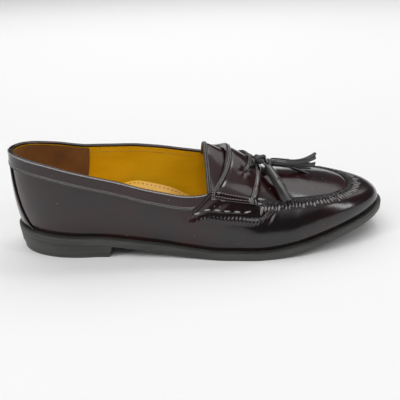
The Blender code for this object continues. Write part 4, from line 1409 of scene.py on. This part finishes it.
def collar_band():
    """The band round the collar, rolled over the top edge, with its double row of stitches."""
    rows = np.concatenate([np.linspace(0, 1, 14), [1.04, 1.08, 1.12, 1.20, 1.45]])

    def place(step, q):
        over = np.clip((q - 1) / 0.12, 0, 1) * pi
        lift = BAND_FACE - np.where(q > 1, (1 - np.cos(over)) * 0.00165, 0.0)
        high = np.where(q > 1, np.sin(over) * 0.0008 / BAND_HEIGHT, 0.0)
        back = np.where(q > 1.12, (q - 1.12) * 0.5, 0.0)
        edge = 0.0005 * (1 - ease(q / 0.06))
        return collar_spot(step, np.where(q > 1, 1 + high - back, q), lift - edge)

    piece = laid("collar_band", np.linspace(-1, 1, 361), rows, place)
    dressed(piece, look("strap leather"), "collar_band", slot="upper_leather")
    stitches("collar_stitches", [collar_line(q, 0.00002) for q in (0.10, 0.21)])
    cut_edge("collar_cut_edge", *collar_line(0.002, -0.0004), 0.0009)
    # Painted highlight: a pale thread-coloured bead along the collar's rolled top edge stands for its bright
    # line.
    cut_edge("collar_brim", *collar_line(0.985, -0.0002), 0.0010, "edge thread")
    lip, up = collar_line(0.93)
    middle = Vector(lip.mean(axis=0) - MIDDLE)
    band = raised_band("collar_lip", lip - up * 0.0002, up, 0.0016, 0.0005, 7)
    toward(band, lambda centre: (centre - middle) * Vector((1, 1, 0)))
    dressed(band, look("strap leather"), slot="upper_leather")


def back_strip_around(step, q):
    """How far round the heel a place on the back strip is."""
    half = mix(BACK_STRIP_FOOT, BACK_STRIP_TOP, q**BACK_STRIP_FLARE)
    return np.arcsin(half * np.abs(step) / (HEEL_WIDTH / 2)) * 2 / pi


def back_strip_spot(step, q):
    """A place on the back strip: step from its outer to its inner edge, q from its foot up."""
    side, around = side_of(step), back_strip_around(step, q)
    down = mix(wall_length(side, around) - 0.0003, BAND_HEIGHT + 2 * OVERLAY_GAP, q)
    return on_wall(side, around, down, OVERLAY_GAP + BACK_STRIP_WALL)


def back_strip():
    """The strip over the seam at the back of the heel."""
    piece = laid("back_strip", np.linspace(-1, 1, 41), np.linspace(0, 1, 40), back_strip_spot)
    toward(piece, lambda centre: Vector((-1, 0, 0)))
    thicken(piece, BACK_STRIP_WALL + OVERLAY_GAP, 0.0004)
    dressed(piece, look("strap leather"), "back_strip", slot="upper_leather")
    rows = []
    for edge in (-0.93, 0.93):
        q = np.linspace(0.03, 0.97, 120)
        points = back_strip_spot(edge, q)
        inner = back_strip_spot(edge * 0.9, q) - points
        up = unit(np.cross(np.gradient(points, axis=0), inner) * np.sign(edge))
        rows.append((points + up * 0.0001, up))
    stitches("back_strip_stitches", rows)
    for side, word in WORDS.items():
        q = np.linspace(0.005, 0.995, 120)
        out = wall_normal(side, back_strip_around(1, q), 0.5)
        cut_edge("back_strip_edge_" + word, back_strip_spot(side, q) - out * 0.0006, out, 0.0012)


# Inside
def lining():
    """The mustard lining against the wall, from the insole to the collar and the seam."""
    def place(turn, row):
        side, around = turn_parts(turn)
        down = mix(0.0010, wall_length(side, around) - 0.0008, row)
        sway = 0.00035 * np.sin(turn * 9 + row * 5) * np.sin(row * 7 - turn * 4) * ease(row * 3)
        return on_wall(side, around, down, -UPPER_WALL + sway - 0.0001)

    piece = laid("lining", np.linspace(0, 6, 361), np.linspace(0, 1, 26), place)
    dressed(piece, look("lining leather"), slot="lining")
    fine = np.linspace(0, THROAT_AROUND - 0.05, 500)
    rows = []
    for side in (LATERAL, MEDIAL):
        up = 1 - LINING_SEAM_DROP / wall_length(side, fine)
        points = on_wall(side, fine, LINING_SEAM_DROP, -UPPER_WALL - 0.0002)
        rows.append((points, -wall_normal(side, fine, up)))
    stitches("lining_stitches", rows, "lining thread")


def heel_lining():
    """Tan suede inside the heel, ending in an upright edge."""
    end = HEEL_LINING_REACH / SHOE_LENGTH - TOP_BACK
    edge = np.arccos(1 - end / TOP_HEEL_CAP) * 2 / pi

    def place(step, row):
        side, around = side_of(step), np.abs(step)
        down = mix(0.0014, wall_length(side, around) - 0.003, row)
        return on_wall(side, around, down, -UPPER_WALL - 0.0007)

    piece = laid("heel_lining", np.linspace(-edge, edge, 121), np.linspace(0, 1, 26), place)
    inside = Vector(INSIDE_HEEL - MIDDLE)
    toward(piece, lambda centre: inside - centre)
    dressed(piece, look("heel suede"), slot="lining")


def insole_spot(around, across, lift):
    """A place on the insole's face, which rises at the arch pad on the inner side."""
    inset = FEATHER_INSET + UPPER_WALL + INSOLE_CLEARANCE
    plan = across_plan(around, across, inset)
    middle = across_plan(around, 0.5, inset)[..., 0] / SHOE_LENGTH
    rise = ARCH_PAD_HEIGHT * read(ARCH_PAD, "height", middle) * ease((across - 0.5) / 0.5)
    z = rise_at(plan[..., 0]) + SOLE_THICKNESS + GAP + INSOLE_THICKNESS + rise + lift
    return np.concatenate([plan, z[..., None]], axis=-1)


def insole():
    """The sock of the insole with its arch pad and two rows of pinholes."""
    piece = laid("insole", np.linspace(0, 3, 220), np.linspace(0, 1, 60), lambda a, b: insole_spot(a, b, 0.0))
    dressed(thicken(piece, 0.0022, 0.0006), look("insole leather"), "insole", slot="lining")
    spots, along, up = [], [], []
    for low, high, across in ((1.00, 1.90, 0.955), (1.02, 1.86, 0.885)):
        fine = np.linspace(low, high, 200)
        bow = across - 0.02 * np.sin(np.linspace(0, pi, 200))
        points = insole_spot(fine, bow, 0.00008)
        ahead, aside = insole_spot(fine + PROBE, bow, 0.0), insole_spot(fine, bow + PROBE, 0.0)
        normal = unit(np.cross(ahead - points, aside - points))
        for found, each in zip((spots, along, up), resample(points, normal, sizes().pinhole_pitch)):
            found.append(each)
    spots, along, up = (np.concatenate(each) for each in (spots, along, up))
    scales = np.tile([sizes().pinhole, sizes().pinhole, 0.0004], (len(spots), 1))
    # The pinholes are flat dark beads: painted shade of the holes.
    dressed(repeated("pinholes", bead(10, 3), spots, along, up, scales), look("pinhole"))


# Sole and heel


def standing(plan, height):
    """A place of the sole's plan at a height over the sole's underside."""
    return np.concatenate([plan, (rise_at(plan[..., 0]) + height)[..., None]], axis=-1)


def outsole():
    """The sole's edge with its rounded corners and fine top line, closed above and below."""
    t = SOLE_THICKNESS
    profile = np.array([
        (0.022, 0.0), (0.010, 0.0), (0.0030, 0.0), (0.0010, 0.0), (0.0003, 0.0002), (0.0, 0.0008),
        (-0.0001, t * 0.35), (-0.0001, t * 0.6), (0.0, t - 0.0016), (0.0003, t - 0.0013),
        (0.0003, t - 0.0010), (0.0, t - 0.0007), (0.0001, t - 0.0002), (0.0006, t), (0.0020, t),
        (0.0060, t), (0.022, t),
    ])
    turns = np.concatenate([np.linspace(0, 2, 120, endpoint=False), np.linspace(2, 4, 150, endpoint=False),
                            np.linspace(4, 6, 121)])

    def place(turn, row):
        inset, height = profile[row.astype(int)].T
        return standing(inset_edge(*turn_parts(turn), inset), height)

    pieces = [laid("outsole", turns, np.arange(len(profile)), place)]
    for inset, height in (profile[0], profile[-1]):
        pieces.append(laid("face", turns[turns <= 3], np.linspace(0, 1, 9),
                           lambda around, share: standing(across_plan(around, share, inset), height)))
    return dressed(outward(join("outsole", pieces), 40), look("sole edge"), "outsole", slot="sole")


def heel():
    """The stacked heel block with soft edges and its hollow breast."""
    breast = 1 + (HEEL_LENGTH / SHOE_LENGTH - SOLE_HEEL_CAP) / (1 - SOLE_TOE_CAP - SOLE_HEEL_CAP)
    columns = np.concatenate([np.linspace(0, 1, 60, endpoint=False), np.linspace(1, breast, 12)])

    def across(around, t):
        row = np.floor(t).astype(int)
        share = t - row
        inset, metres, part = HEEL_LAYERS[row].T
        plan = across_plan(around, share, inset)
        plan[:, 0] -= BREAST_HOLLOW * (1 - (2 * share - 1) ** 2) * (around >= breast - 1e-9)
        top = rise_at(plan[:, 0]) + 0.0002
        z = metres + part * top
        plan[:, 0] -= BREAST_LEAN * np.clip((around - 1) / (breast - 1), 0, 1) * (1 - z / top)
        return np.concatenate([plan, z[:, None]], axis=-1)

    rows, nearly_one = np.arange(len(HEEL_LAYERS)), 0.999999
    over = np.linspace(0, nearly_one, 13)
    pieces = [laid("cap", columns, row + over, across) for row in (0, rows[-1])]
    pieces += [laid("side", columns, rows + end, across) for end in (0.0, nearly_one)]
    pieces.append(laid("front", over, rows, lambda t, row: across(np.full(len(t), breast), row + t)))
    return dressed(outward(join("heel", pieces), 35, 3e-6), look("sole edge"), "heel", slot="heel")


# Lace, knot and tassels
def knot_frame():
    """The knot's middle and its directions along, across and square to the strap."""
    seat = over_vamp(KNOT_RUN, KNOT_ACROSS, 0.0)
    along = unit(over_vamp(KNOT_RUN + 0.002, KNOT_ACROSS, 0.0) - seat)
    over = over_vamp(KNOT_RUN, KNOT_ACROSS + 0.05, 0.0) - seat
    up = unit(np.cross(along, over))
    lift = OVERLAY_GAP + STRAP_THICKNESS + 0.0006 + KNOT_HEIGHT * 0.56 + GAP
    return seat + up * lift, along, np.cross(up, along), up


def tube(name, points, diameter):
    """A round cord along a smooth run of points, as a curve."""
    curve = bpy.data.curves.new(name, "CURVE")
    curve.dimensions = "3D"
    curve.bevel_depth = diameter / 2
    curve.bevel_resolution = 3
    curve.use_fill_caps = True
    spline = curve.splines.new("POLY")
    spline.points.add(len(points) - 1)
    for at, point in zip(spline.points, points):
        at.co = (*(point - MIDDLE), 1.0)
    made = bpy.data.objects.new(name, curve)
    bpy.context.scene.collection.objects.link(made)
    made.data.materials.append(look("lace leather"))
    return made


def rounded(points, count):
    """A smooth run of even steps through a few points."""
    points = np.asarray(points)
    run = run_along(points)
    at = np.linspace(0, run[-1], count)
    return np.stack([cubic(run, column, np.gradient(column, run), at) for column in points.T], axis=1)


# From the eyelet to the knot: how far ahead of the eyelet, how far aside of the middle, and lift
LACE_CLIMB = (
    (0.0, EYELET_SPREAD, -0.0006),
    (0.0015, EYELET_SPREAD - 0.0030, 0.0016),
    (0.0060, 0.0105, 0.0014),
    (0.0115, 0.0042, 0.0018),
)

# The turn that crosses the knot: ahead of its middle, aside and up
KNOT_CROSS = (
    (-0.0056, -0.0024, 0.0002),
    (-0.0030, -0.0022, 0.0034),
    (0.0006, 0.0008, 0.0040),
    (0.0030, 0.0030, 0.0010),
)

# Outline of a tassel's head: distance from its neck and share of its radius
HEAD_PROFILE = np.array([
    (-0.0030, 0.05), (-0.0030, 0.50), (-0.0027, 0.74), (-0.0018, 0.90), (0.0004, 0.98), (0.0040, 1.0),
    (0.0080, 1.0), (0.0120, 1.02), (0.0140, 1.05), (0.0145, 1.00), (0.0146, 0.80), (0.0143, 0.05),
])
HEAD_EDGE = {LATERAL: 2.2, MEDIAL: 1.2}

# Each tassel: its neck and its tip over the vamp
TASSELS = {
    LATERAL: {"neck": (0.0485, -0.34, 0.0072), "tip": (0.0590, -1.12, 0.0078)},
    MEDIAL: {"neck": (0.0545, 0.02, 0.0070), "tip": (0.0880, 0.18, 0.0052)},
}


def tassel_frame(side):
    """A tassel's neck, the way that it points and the two directions square to that."""
    neck, tip = (over_vamp(*TASSELS[side][end]) for end in ("neck", "tip"))
    axis = unit(tip - neck)
    flank = unit(np.cross([0.0, 0.0, 1.0], axis))
    return neck, axis, flank, np.cross(axis, flank)


def lace_route(side):
    """From its eyelet over the strap to the knot and on to its tassel."""
    middle, along, over, up = knot_frame()
    neck, axis = tassel_frame(side)[:2]
    climb = [on_strap(LACE_PLACE + ahead, side * aside / HALF_SADDLE, lift)
             for ahead, aside, lift in LACE_CLIMB]
    before = middle - along * KNOT_LENGTH * 0.42 + over * side * 0.0012
    after = middle + unit(neck - middle) * KNOT_LENGTH * 0.30
    return rounded([*climb, before, after, neck - axis * 0.0012, neck + axis * 0.0016], 36)


def laces():
    """The two free ends of the lace."""
    for side, word in WORDS.items():
        piece = tube("lace_" + word, lace_route(side), sizes().lace_diameter)
        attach(piece, "root")
        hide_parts("lace_end_" + word)


def declare_laces():
    """Works out the route of both free ends of the lace and keeps nothing of it."""
    for side, word in WORDS.items():
        points = lace_route(side)


def lace_bar():
    """Two strands of the lace over the strap, through both eyelets."""
    across = np.linspace(-1, 1, 41)
    lift = 0.0011 - 0.0050 * np.maximum(0, (np.abs(across) - 0.93) / 0.07) ** 2
    strands = []
    for shift in (-0.0010, 0.0011):
        run = LACE_PLACE + LACE_DRAW * (1 - across**2) + shift * (1 - 0.5 * across**4)
        points = on_strap(run, across * (EYELET_SPREAD + 0.0004) / HALF_SADDLE, lift)
        strands.append(tube("strand", points, 0.0019))
    return dressed(as_mesh("lace_bar", strands), look("lace leather"), "lace_bar", slot="lace_leather")


def as_mesh(name, curves):
    """Turns curves into one mesh."""
    deselect()
    for piece in curves:
        piece.select_set(True)
    bpy.context.view_layer.objects.active = curves[0]
    bpy.ops.object.convert(target="MESH")
    bpy.ops.object.join()
    piece = bpy.context.object
    piece.name = piece.data.name = name
    bpy.ops.object.shade_smooth()
    return piece


def knot():
    """The lace wound on itself over the strap: three turns, a cross turn and a loop before it."""
    middle, along, over, up = knot_frame()

    def at(ahead, aside, high):
        ahead, aside, high = (value[..., None] for value in np.broadcast_arrays(ahead, aside, high))
        return middle + along * ahead + over * aside + up * high

    turn = np.linspace(0, 3.2 * 2 * pi, 90)
    bulge = 0.8 + 0.2 * np.sin(np.linspace(0, pi, 90))
    coil = at(np.linspace(-0.0050, 0.0010, 90), np.cos(turn) * 0.0031 * bulge, np.sin(turn) * 0.0023 * bulge)
    cross = rounded([at(*place) for place in KNOT_CROSS], 24)
    parts = [tube("coil", coil, 0.0025), tube("cross", cross, 0.0028)]
    angle = np.linspace(-0.3, 2 * pi - 0.5, 40)
    for ahead, high, thick in ((0.0058, 0.0012, 0.0030), (0.0070, -0.0010, 0.0028)):
        ring = at(ahead + np.cos(angle) * 0.0022, np.sin(angle) * 0.0033, high + 0.0009 * np.sin(angle * 2))
        parts.append(tube("loop", ring, thick))
    core = rounded([at(ahead, 0.0, 0.0) for ahead in (-0.0046, 0.0, 0.0060)], 10)
    parts.append(tube("core", core, 0.0040))
    return dressed(as_mesh("knot", parts), look("lace leather"), "lace_knot", slot="lace_leather")


def tassel_head(side):
    """The rolled head: leather wound on itself, its outer edge showing as a line."""
    neck, axis, flank, up = tassel_frame(side)
    start = HEAD_EDGE[side]
    angles = np.concatenate([[start], start + np.linspace(0.03, 2 * pi - 0.03, 44), [start + 2 * pi]])

    def place(row, angle):
        distance, share = HEAD_PROFILE[row.astype(int)].T
        wound = 1.0 - 0.16 * (1 - (angle - start) / (2 * pi))
        groove = 0.16 * np.exp(-(((angle - start - 2.6) / 0.14) ** 2))
        size = TASSEL_HEAD_DIAMETER / 2 * share * np.where(share > 0.3, wound - groove, 1.0)
        offset = flank * (np.cos(angle) * size)[:, None] + up * (np.sin(angle) * size)[:, None]
        return neck + axis * distance[:, None] + offset

    piece = laid("tassel_head_" + WORDS[side], np.arange(len(HEAD_PROFILE)), angles, place)
    base, pointing = Vector(neck - MIDDLE), Vector(axis)
    toward(piece, lambda centre: centre - base - pointing * (centre - base).dot(pointing))
    return dressed(smooth(piece, 50), look("lace leather"), slot="lace_leather")


# Strips of each tassel: angle round the head, length, spread, lift of the end and twist
STRIPS = {
    LATERAL: (
        (1.75, 0.0205, 0.0002, -0.0008, 0.05),
        (0.95, 0.0190, 0.0010, -0.0006, -0.08),
        (2.55, 0.0195, 0.0008, -0.0010, 0.10),
        (0.20, 0.0180, 0.0012, -0.0012, -0.10),
        (3.35, 0.0190, 0.0012, -0.0014, 0.12),
        (4.20, 0.0180, 0.0004, -0.0010, 0.0),
        (5.10, 0.0185, 0.0004, -0.0008, 0.0),
        (5.80, 0.0180, 0.0008, -0.0012, -0.1),
    ),
    MEDIAL: (
        (1.65, 0.0235, 0.0002, 0.0084, 0.10),
        (0.95, 0.0225, 0.0002, 0.0072, -0.06),
        (2.35, 0.0230, 0.0002, 0.0066, 0.08),
        (0.25, 0.0215, 0.0006, 0.0040, -0.10),
        (3.20, 0.0225, 0.0010, 0.0030, 0.10),
        (4.10, 0.0220, 0.0052, -0.0014, 0.10),
        (5.10, 0.0215, 0.0006, 0.0010, 0.0),
        (5.80, 0.0215, 0.0008, 0.0014, -0.1),
    ),
}


def strip(side, angle, length, spread, lift, twist):
    """One flat strip of a tassel, rooted in the head and bending to its end."""
    neck, axis, flank, up = tassel_frame(side)
    out = flank * np.cos(angle) + up * np.sin(angle)
    aside = up * np.cos(angle) - flank * np.sin(angle)

    def place(t, corner):
        distance = TASSEL_HEAD_LENGTH - STRIP_ROOT + t * (length + STRIP_ROOT)
        free = np.clip((distance - TASSEL_HEAD_LENGTH) / length, 0, 1)
        centre = neck + axis * distance[:, None] + out * (STRIP_RING + spread * free)[:, None]
        centre[:, 2] += lift * free**2.2
        turned = (twist * free)[:, None]
        wide = aside * np.cos(turned) + out * np.sin(turned)
        high = out * np.cos(turned) - aside * np.sin(turned)
        a = corner * 2 * pi
        shut = np.where((t <= 0.0) | (t >= 1.0), 0.02, 1.0)
        x = np.clip(np.cos(a) * 1.25, -1, 1) * sizes().strip_width / 2 * mix(0.80, 1.0, free) * shut
        y = np.clip(np.sin(a) * 1.6, -1, 1) * sizes().strip_thickness / 2 * shut
        return centre + wide * x[:, None] + high * y[:, None]

    steps = np.concatenate([[0.0, 1e-4], np.linspace(0.04, 0.9999, 16), [1.0]])
    return laid("strip", steps, np.linspace(0, 1, 17), place)


def tassel_strips(side):
    """All the strips of one tassel."""
    piece = join("tassel_strips_" + WORDS[side], [strip(side, *row) for row in STRIPS[side]])
    return dressed(outward(piece, 40), look("lace leather"), "tassel_" + WORDS[side], slot="lace_leather")


# Studio
VIEW_FROM = (-0.0215, -0.3941, 0.2269)
VIEW_AT = (-0.0020, 0.0, 0.0300)
VIEW_ROLL = -1.74
FOCAL_PIXELS = 525.0
FRAME_PIXELS = 400.0
SENSOR = 36.0
FLOOR_SIZE = 12.0

# Grey of the sky from the horizon up
SKY = ((0.0, 0.92), (0.04, 0.90), (0.12, 0.08), (0.64, 0.08), (0.80, 0.48), (1.0, 0.66))

# Lamps: place, aim, size and watts
LAMPS = {
    "overhead": ((0.1, 0.95, 1.55), (0.0, 0.0, 0.0), (3.2, 1.3), 15.0),
    "front": ((-0.5, -0.9, 1.7), (0.0, 0.0, 0.0), (1.8, 1.0), 12.5),
    "key": ((0.30, 0.33, 1.2), (0.1, -0.03, 0.06), (0.4, 0.2), 1.5),
    "backdrop": ((0.0, 1.0, 1.6), (0.0, 4.0, 0.0), (4.0, 0.6), 24.0),
    "left": ((-1.6, -0.75, 1.0), (0.0, 0.0, 0.03), (0.30, 1.2), 8.0),
    "right": ((1.6, -0.75, 1.0), (0.0, 0.0, 0.03), (0.30, 1.2), 8.0),
}


def camera():
    """The photograph's place and angle, widened and turned to take in the whole shoe."""
    data = bpy.data.cameras.new("camera")
    data.sensor_width = SENSOR
    data.lens = SENSOR * FOCAL_PIXELS / FRAME_PIXELS
    made = bpy.data.objects.new("camera", data)
    bpy.context.scene.collection.objects.link(made)
    ahead = (Vector(VIEW_AT) - Vector(VIEW_FROM)).normalized()
    right = ahead.cross(Vector((0, 0, 1))).normalized()
    up = right.cross(ahead)
    roll = radians(VIEW_ROLL)
    turned = right * np.cos(roll) + up * np.sin(roll)
    risen = up * np.cos(roll) - right * np.sin(roll)
    axes = Matrix((turned, risen, -ahead)).transposed().to_4x4()
    made.matrix_world = Matrix.Translation(VIEW_FROM) @ axes
    bpy.context.scene.camera = made


def softbox(name, place, aim, size, power):
    light = bpy.data.lights.new(name, "AREA")
    light.shape = "RECTANGLE"
    light.size, light.size_y = size
    light.energy = power
    made = bpy.data.objects.new(name, light)
    made.location = place
    made.rotation_euler = (Vector(aim) - Vector(place)).to_track_quat("-Z", "Y").to_euler()
    bpy.context.scene.collection.objects.link(made)


def floor():
    """A wide pale sheet, its corners turned a little down."""
    deselect()
    bpy.ops.mesh.primitive_grid_add(x_subdivisions=24, y_subdivisions=24, size=FLOOR_SIZE)
    piece = bpy.context.object
    piece.name = "floor"
    for vert in piece.data.vertices:
        vert.co.z = -0.02 * max(0.0, vert.co.length - FLOOR_SIZE / 2)
    s = Shading("studio floor")
    tone = s.noise(3.0, 2.0)
    c = tuple(colours().floor)
    s.finish(Base_Color=s.blend(full(c), full([v * 0.985 for v in c]), tone), Roughness=0.85)
    piece.data.materials.append(s.material)


def sky():
    """A pale horizon all round, a dark band above it and a soft grey overhead."""
    world = bpy.data.worlds.new("studio")
    bpy.context.scene.world = world
    world.use_nodes = True
    tree = world.node_tree
    where = tree.nodes.new("ShaderNodeTexCoord")
    parts = tree.nodes.new("ShaderNodeSeparateXYZ")
    ramp = tree.nodes.new("ShaderNodeValToRGB")
    tree.links.new(where.outputs["Generated"], parts.inputs[0])
    tree.links.new(parts.outputs["Z"], ramp.inputs[0])
    tree.links.new(ramp.outputs[0], tree.nodes["Background"].inputs["Color"])
    set_stops(ramp.color_ramp, SKY, 1.01)


def studio():
    sky()
    for name, lamp in LAMPS.items():
        softbox(name, *lamp)
    bpy.context.scene.view_settings.view_transform = "Standard"


# Operators, one for each piece or group of like pieces


class LOAFER_OT_upper(bpy.types.Operator):
    """Lays the side walls and the apron over the last"""

    bl_idname = "loafer.upper"
    bl_label = "Upper"
    bl_options = {"REGISTER", "UNDO"}

    def execute(self, context):
        upper_wall()
        apron()
        return {"FINISHED"}


class LOAFER_OT_seam(bpy.types.Operator):
    """Sews the raised seam round the apron"""

    bl_idname = "loafer.seam"
    bl_label = "Hand-Sewn Seam"
    bl_options = {"REGISTER", "UNDO"}

    def execute(self, context):
        hand_sewn_seam()
        seam_stitches()
        pleat_crest_highlights()
        return {"FINISHED"}


class LOAFER_OT_throat(bpy.types.Operator):
    """Builds the throat piece and its bound edge"""

    bl_idname = "loafer.throat"
    bl_label = "Throat"
    bl_options = {"REGISTER", "UNDO"}

    def execute(self, context):
        tongue()
        throat_edge()
        return {"FINISHED"}


class LOAFER_OT_strap(bpy.types.Operator):
    """Builds the saddle strap with its rib, border and stitches"""

    bl_idname = "loafer.strap"
    bl_label = "Strap"
    bl_options = {"REGISTER", "UNDO"}

    def execute(self, context):
        strap()
        strap_rows()
        return {"FINISHED"}


class LOAFER_OT_wings(bpy.types.Operator):
    """Builds both wings with their large stitches"""

    bl_idname = "loafer.wings"
    bl_label = "Wings"
    bl_options = {"REGISTER", "UNDO"}

    def execute(self, context):
        for side in (LATERAL, MEDIAL):
            wing(side)
        return {"FINISHED"}


class LOAFER_OT_collar(bpy.types.Operator):
    """Builds the collar band and the strip over the heel's seam"""

    bl_idname = "loafer.collar"
    bl_label = "Collar"
    bl_options = {"REGISTER", "UNDO"}

    def execute(self, context):
        collar_band()
        back_strip()
        return {"FINISHED"}


class LOAFER_OT_inside(bpy.types.Operator):
    """Lines the shoe and lays its insole"""

    bl_idname = "loafer.inside"
    bl_label = "Lining and Insole"
    bl_options = {"REGISTER", "UNDO"}

    def execute(self, context):
        lining()
        heel_lining()
        insole()
        return {"FINISHED"}


class LOAFER_OT_sole(bpy.types.Operator):
    """Builds the outsole and the heel"""

    bl_idname = "loafer.sole"
    bl_label = "Sole and Heel"
    bl_options = {"REGISTER", "UNDO"}

    def execute(self, context):
        outsole()
        heel()
        return {"FINISHED"}


class LOAFER_OT_lace(bpy.types.Operator):
    """Runs the lace through the eyelets and ties its knot"""

    bl_idname = "loafer.lace"
    bl_label = "Lace and Knot"
    bl_options = {"REGISTER", "UNDO"}

    def execute(self, context):
        laces()
        lace_bar()
        knot()
        return {"FINISHED"}


class LOAFER_OT_tassels(bpy.types.Operator):
    bl_idname = "loafer.tassels"
    bl_label = "Tassels"
    bl_options = {"REGISTER", "UNDO"}

    def execute(self, context):
        for side in (LATERAL, MEDIAL):
            tassel_head(side)
            tassel_strips(side)
        declare_laces()
        return {"FINISHED"}


class LOAFER_OT_stage(bpy.types.Operator):
    """Sets the floor, the lights and the camera"""

    bl_idname = "loafer.stage"
    bl_label = "Studio"
    bl_options = {"REGISTER", "UNDO"}

    def execute(self, context):
        floor()
        studio()
        camera()
        return {"FINISHED"}


OPERATORS = (
    LOAFER_OT_upper,
    LOAFER_OT_seam,
    LOAFER_OT_throat,
    LOAFER_OT_strap,
    LOAFER_OT_wings,
    LOAFER_OT_collar,
    LOAFER_OT_inside,
    LOAFER_OT_sole,
    LOAFER_OT_lace,
    LOAFER_OT_tassels,
    LOAFER_OT_stage,
)


class LOAFER_PT_making(bpy.types.Panel):
    """Lists the loafer's pieces, sizes and colours"""

    bl_label = "Tassel Loafer"
    bl_idname = "LOAFER_PT_making"
    bl_space_type = "VIEW_3D"
    bl_region_type = "UI"
    bl_category = "Loafer"

    def draw(self, context):
        for operator in OPERATORS:
            self.layout.operator(operator.bl_idname)
        for group in (context.scene.loafer_sizes, context.scene.loafer_colours):
            box = self.layout.box()
            for name in group.__annotations__:
                box.prop(group, name)


CLASSES = (LoaferColours, LoaferSizes, *OPERATORS, LOAFER_PT_making)


def register():
    for each in CLASSES:
        bpy.utils.register_class(each)
    bpy.types.Scene.loafer_colours = bpy.props.PointerProperty(type=LoaferColours)
    bpy.types.Scene.loafer_sizes = bpy.props.PointerProperty(type=LoaferSizes)


def unregister():
    del bpy.types.Scene.loafer_sizes
    del bpy.types.Scene.loafer_colours
    for each in reversed(CLASSES):
        bpy.utils.unregister_class(each)


def main():
    register()
    for operator in OPERATORS:
        group, name = operator.bl_idname.split(".")
        getattr(getattr(bpy.ops, group), name)()


if __name__ == "__main__":
    main()
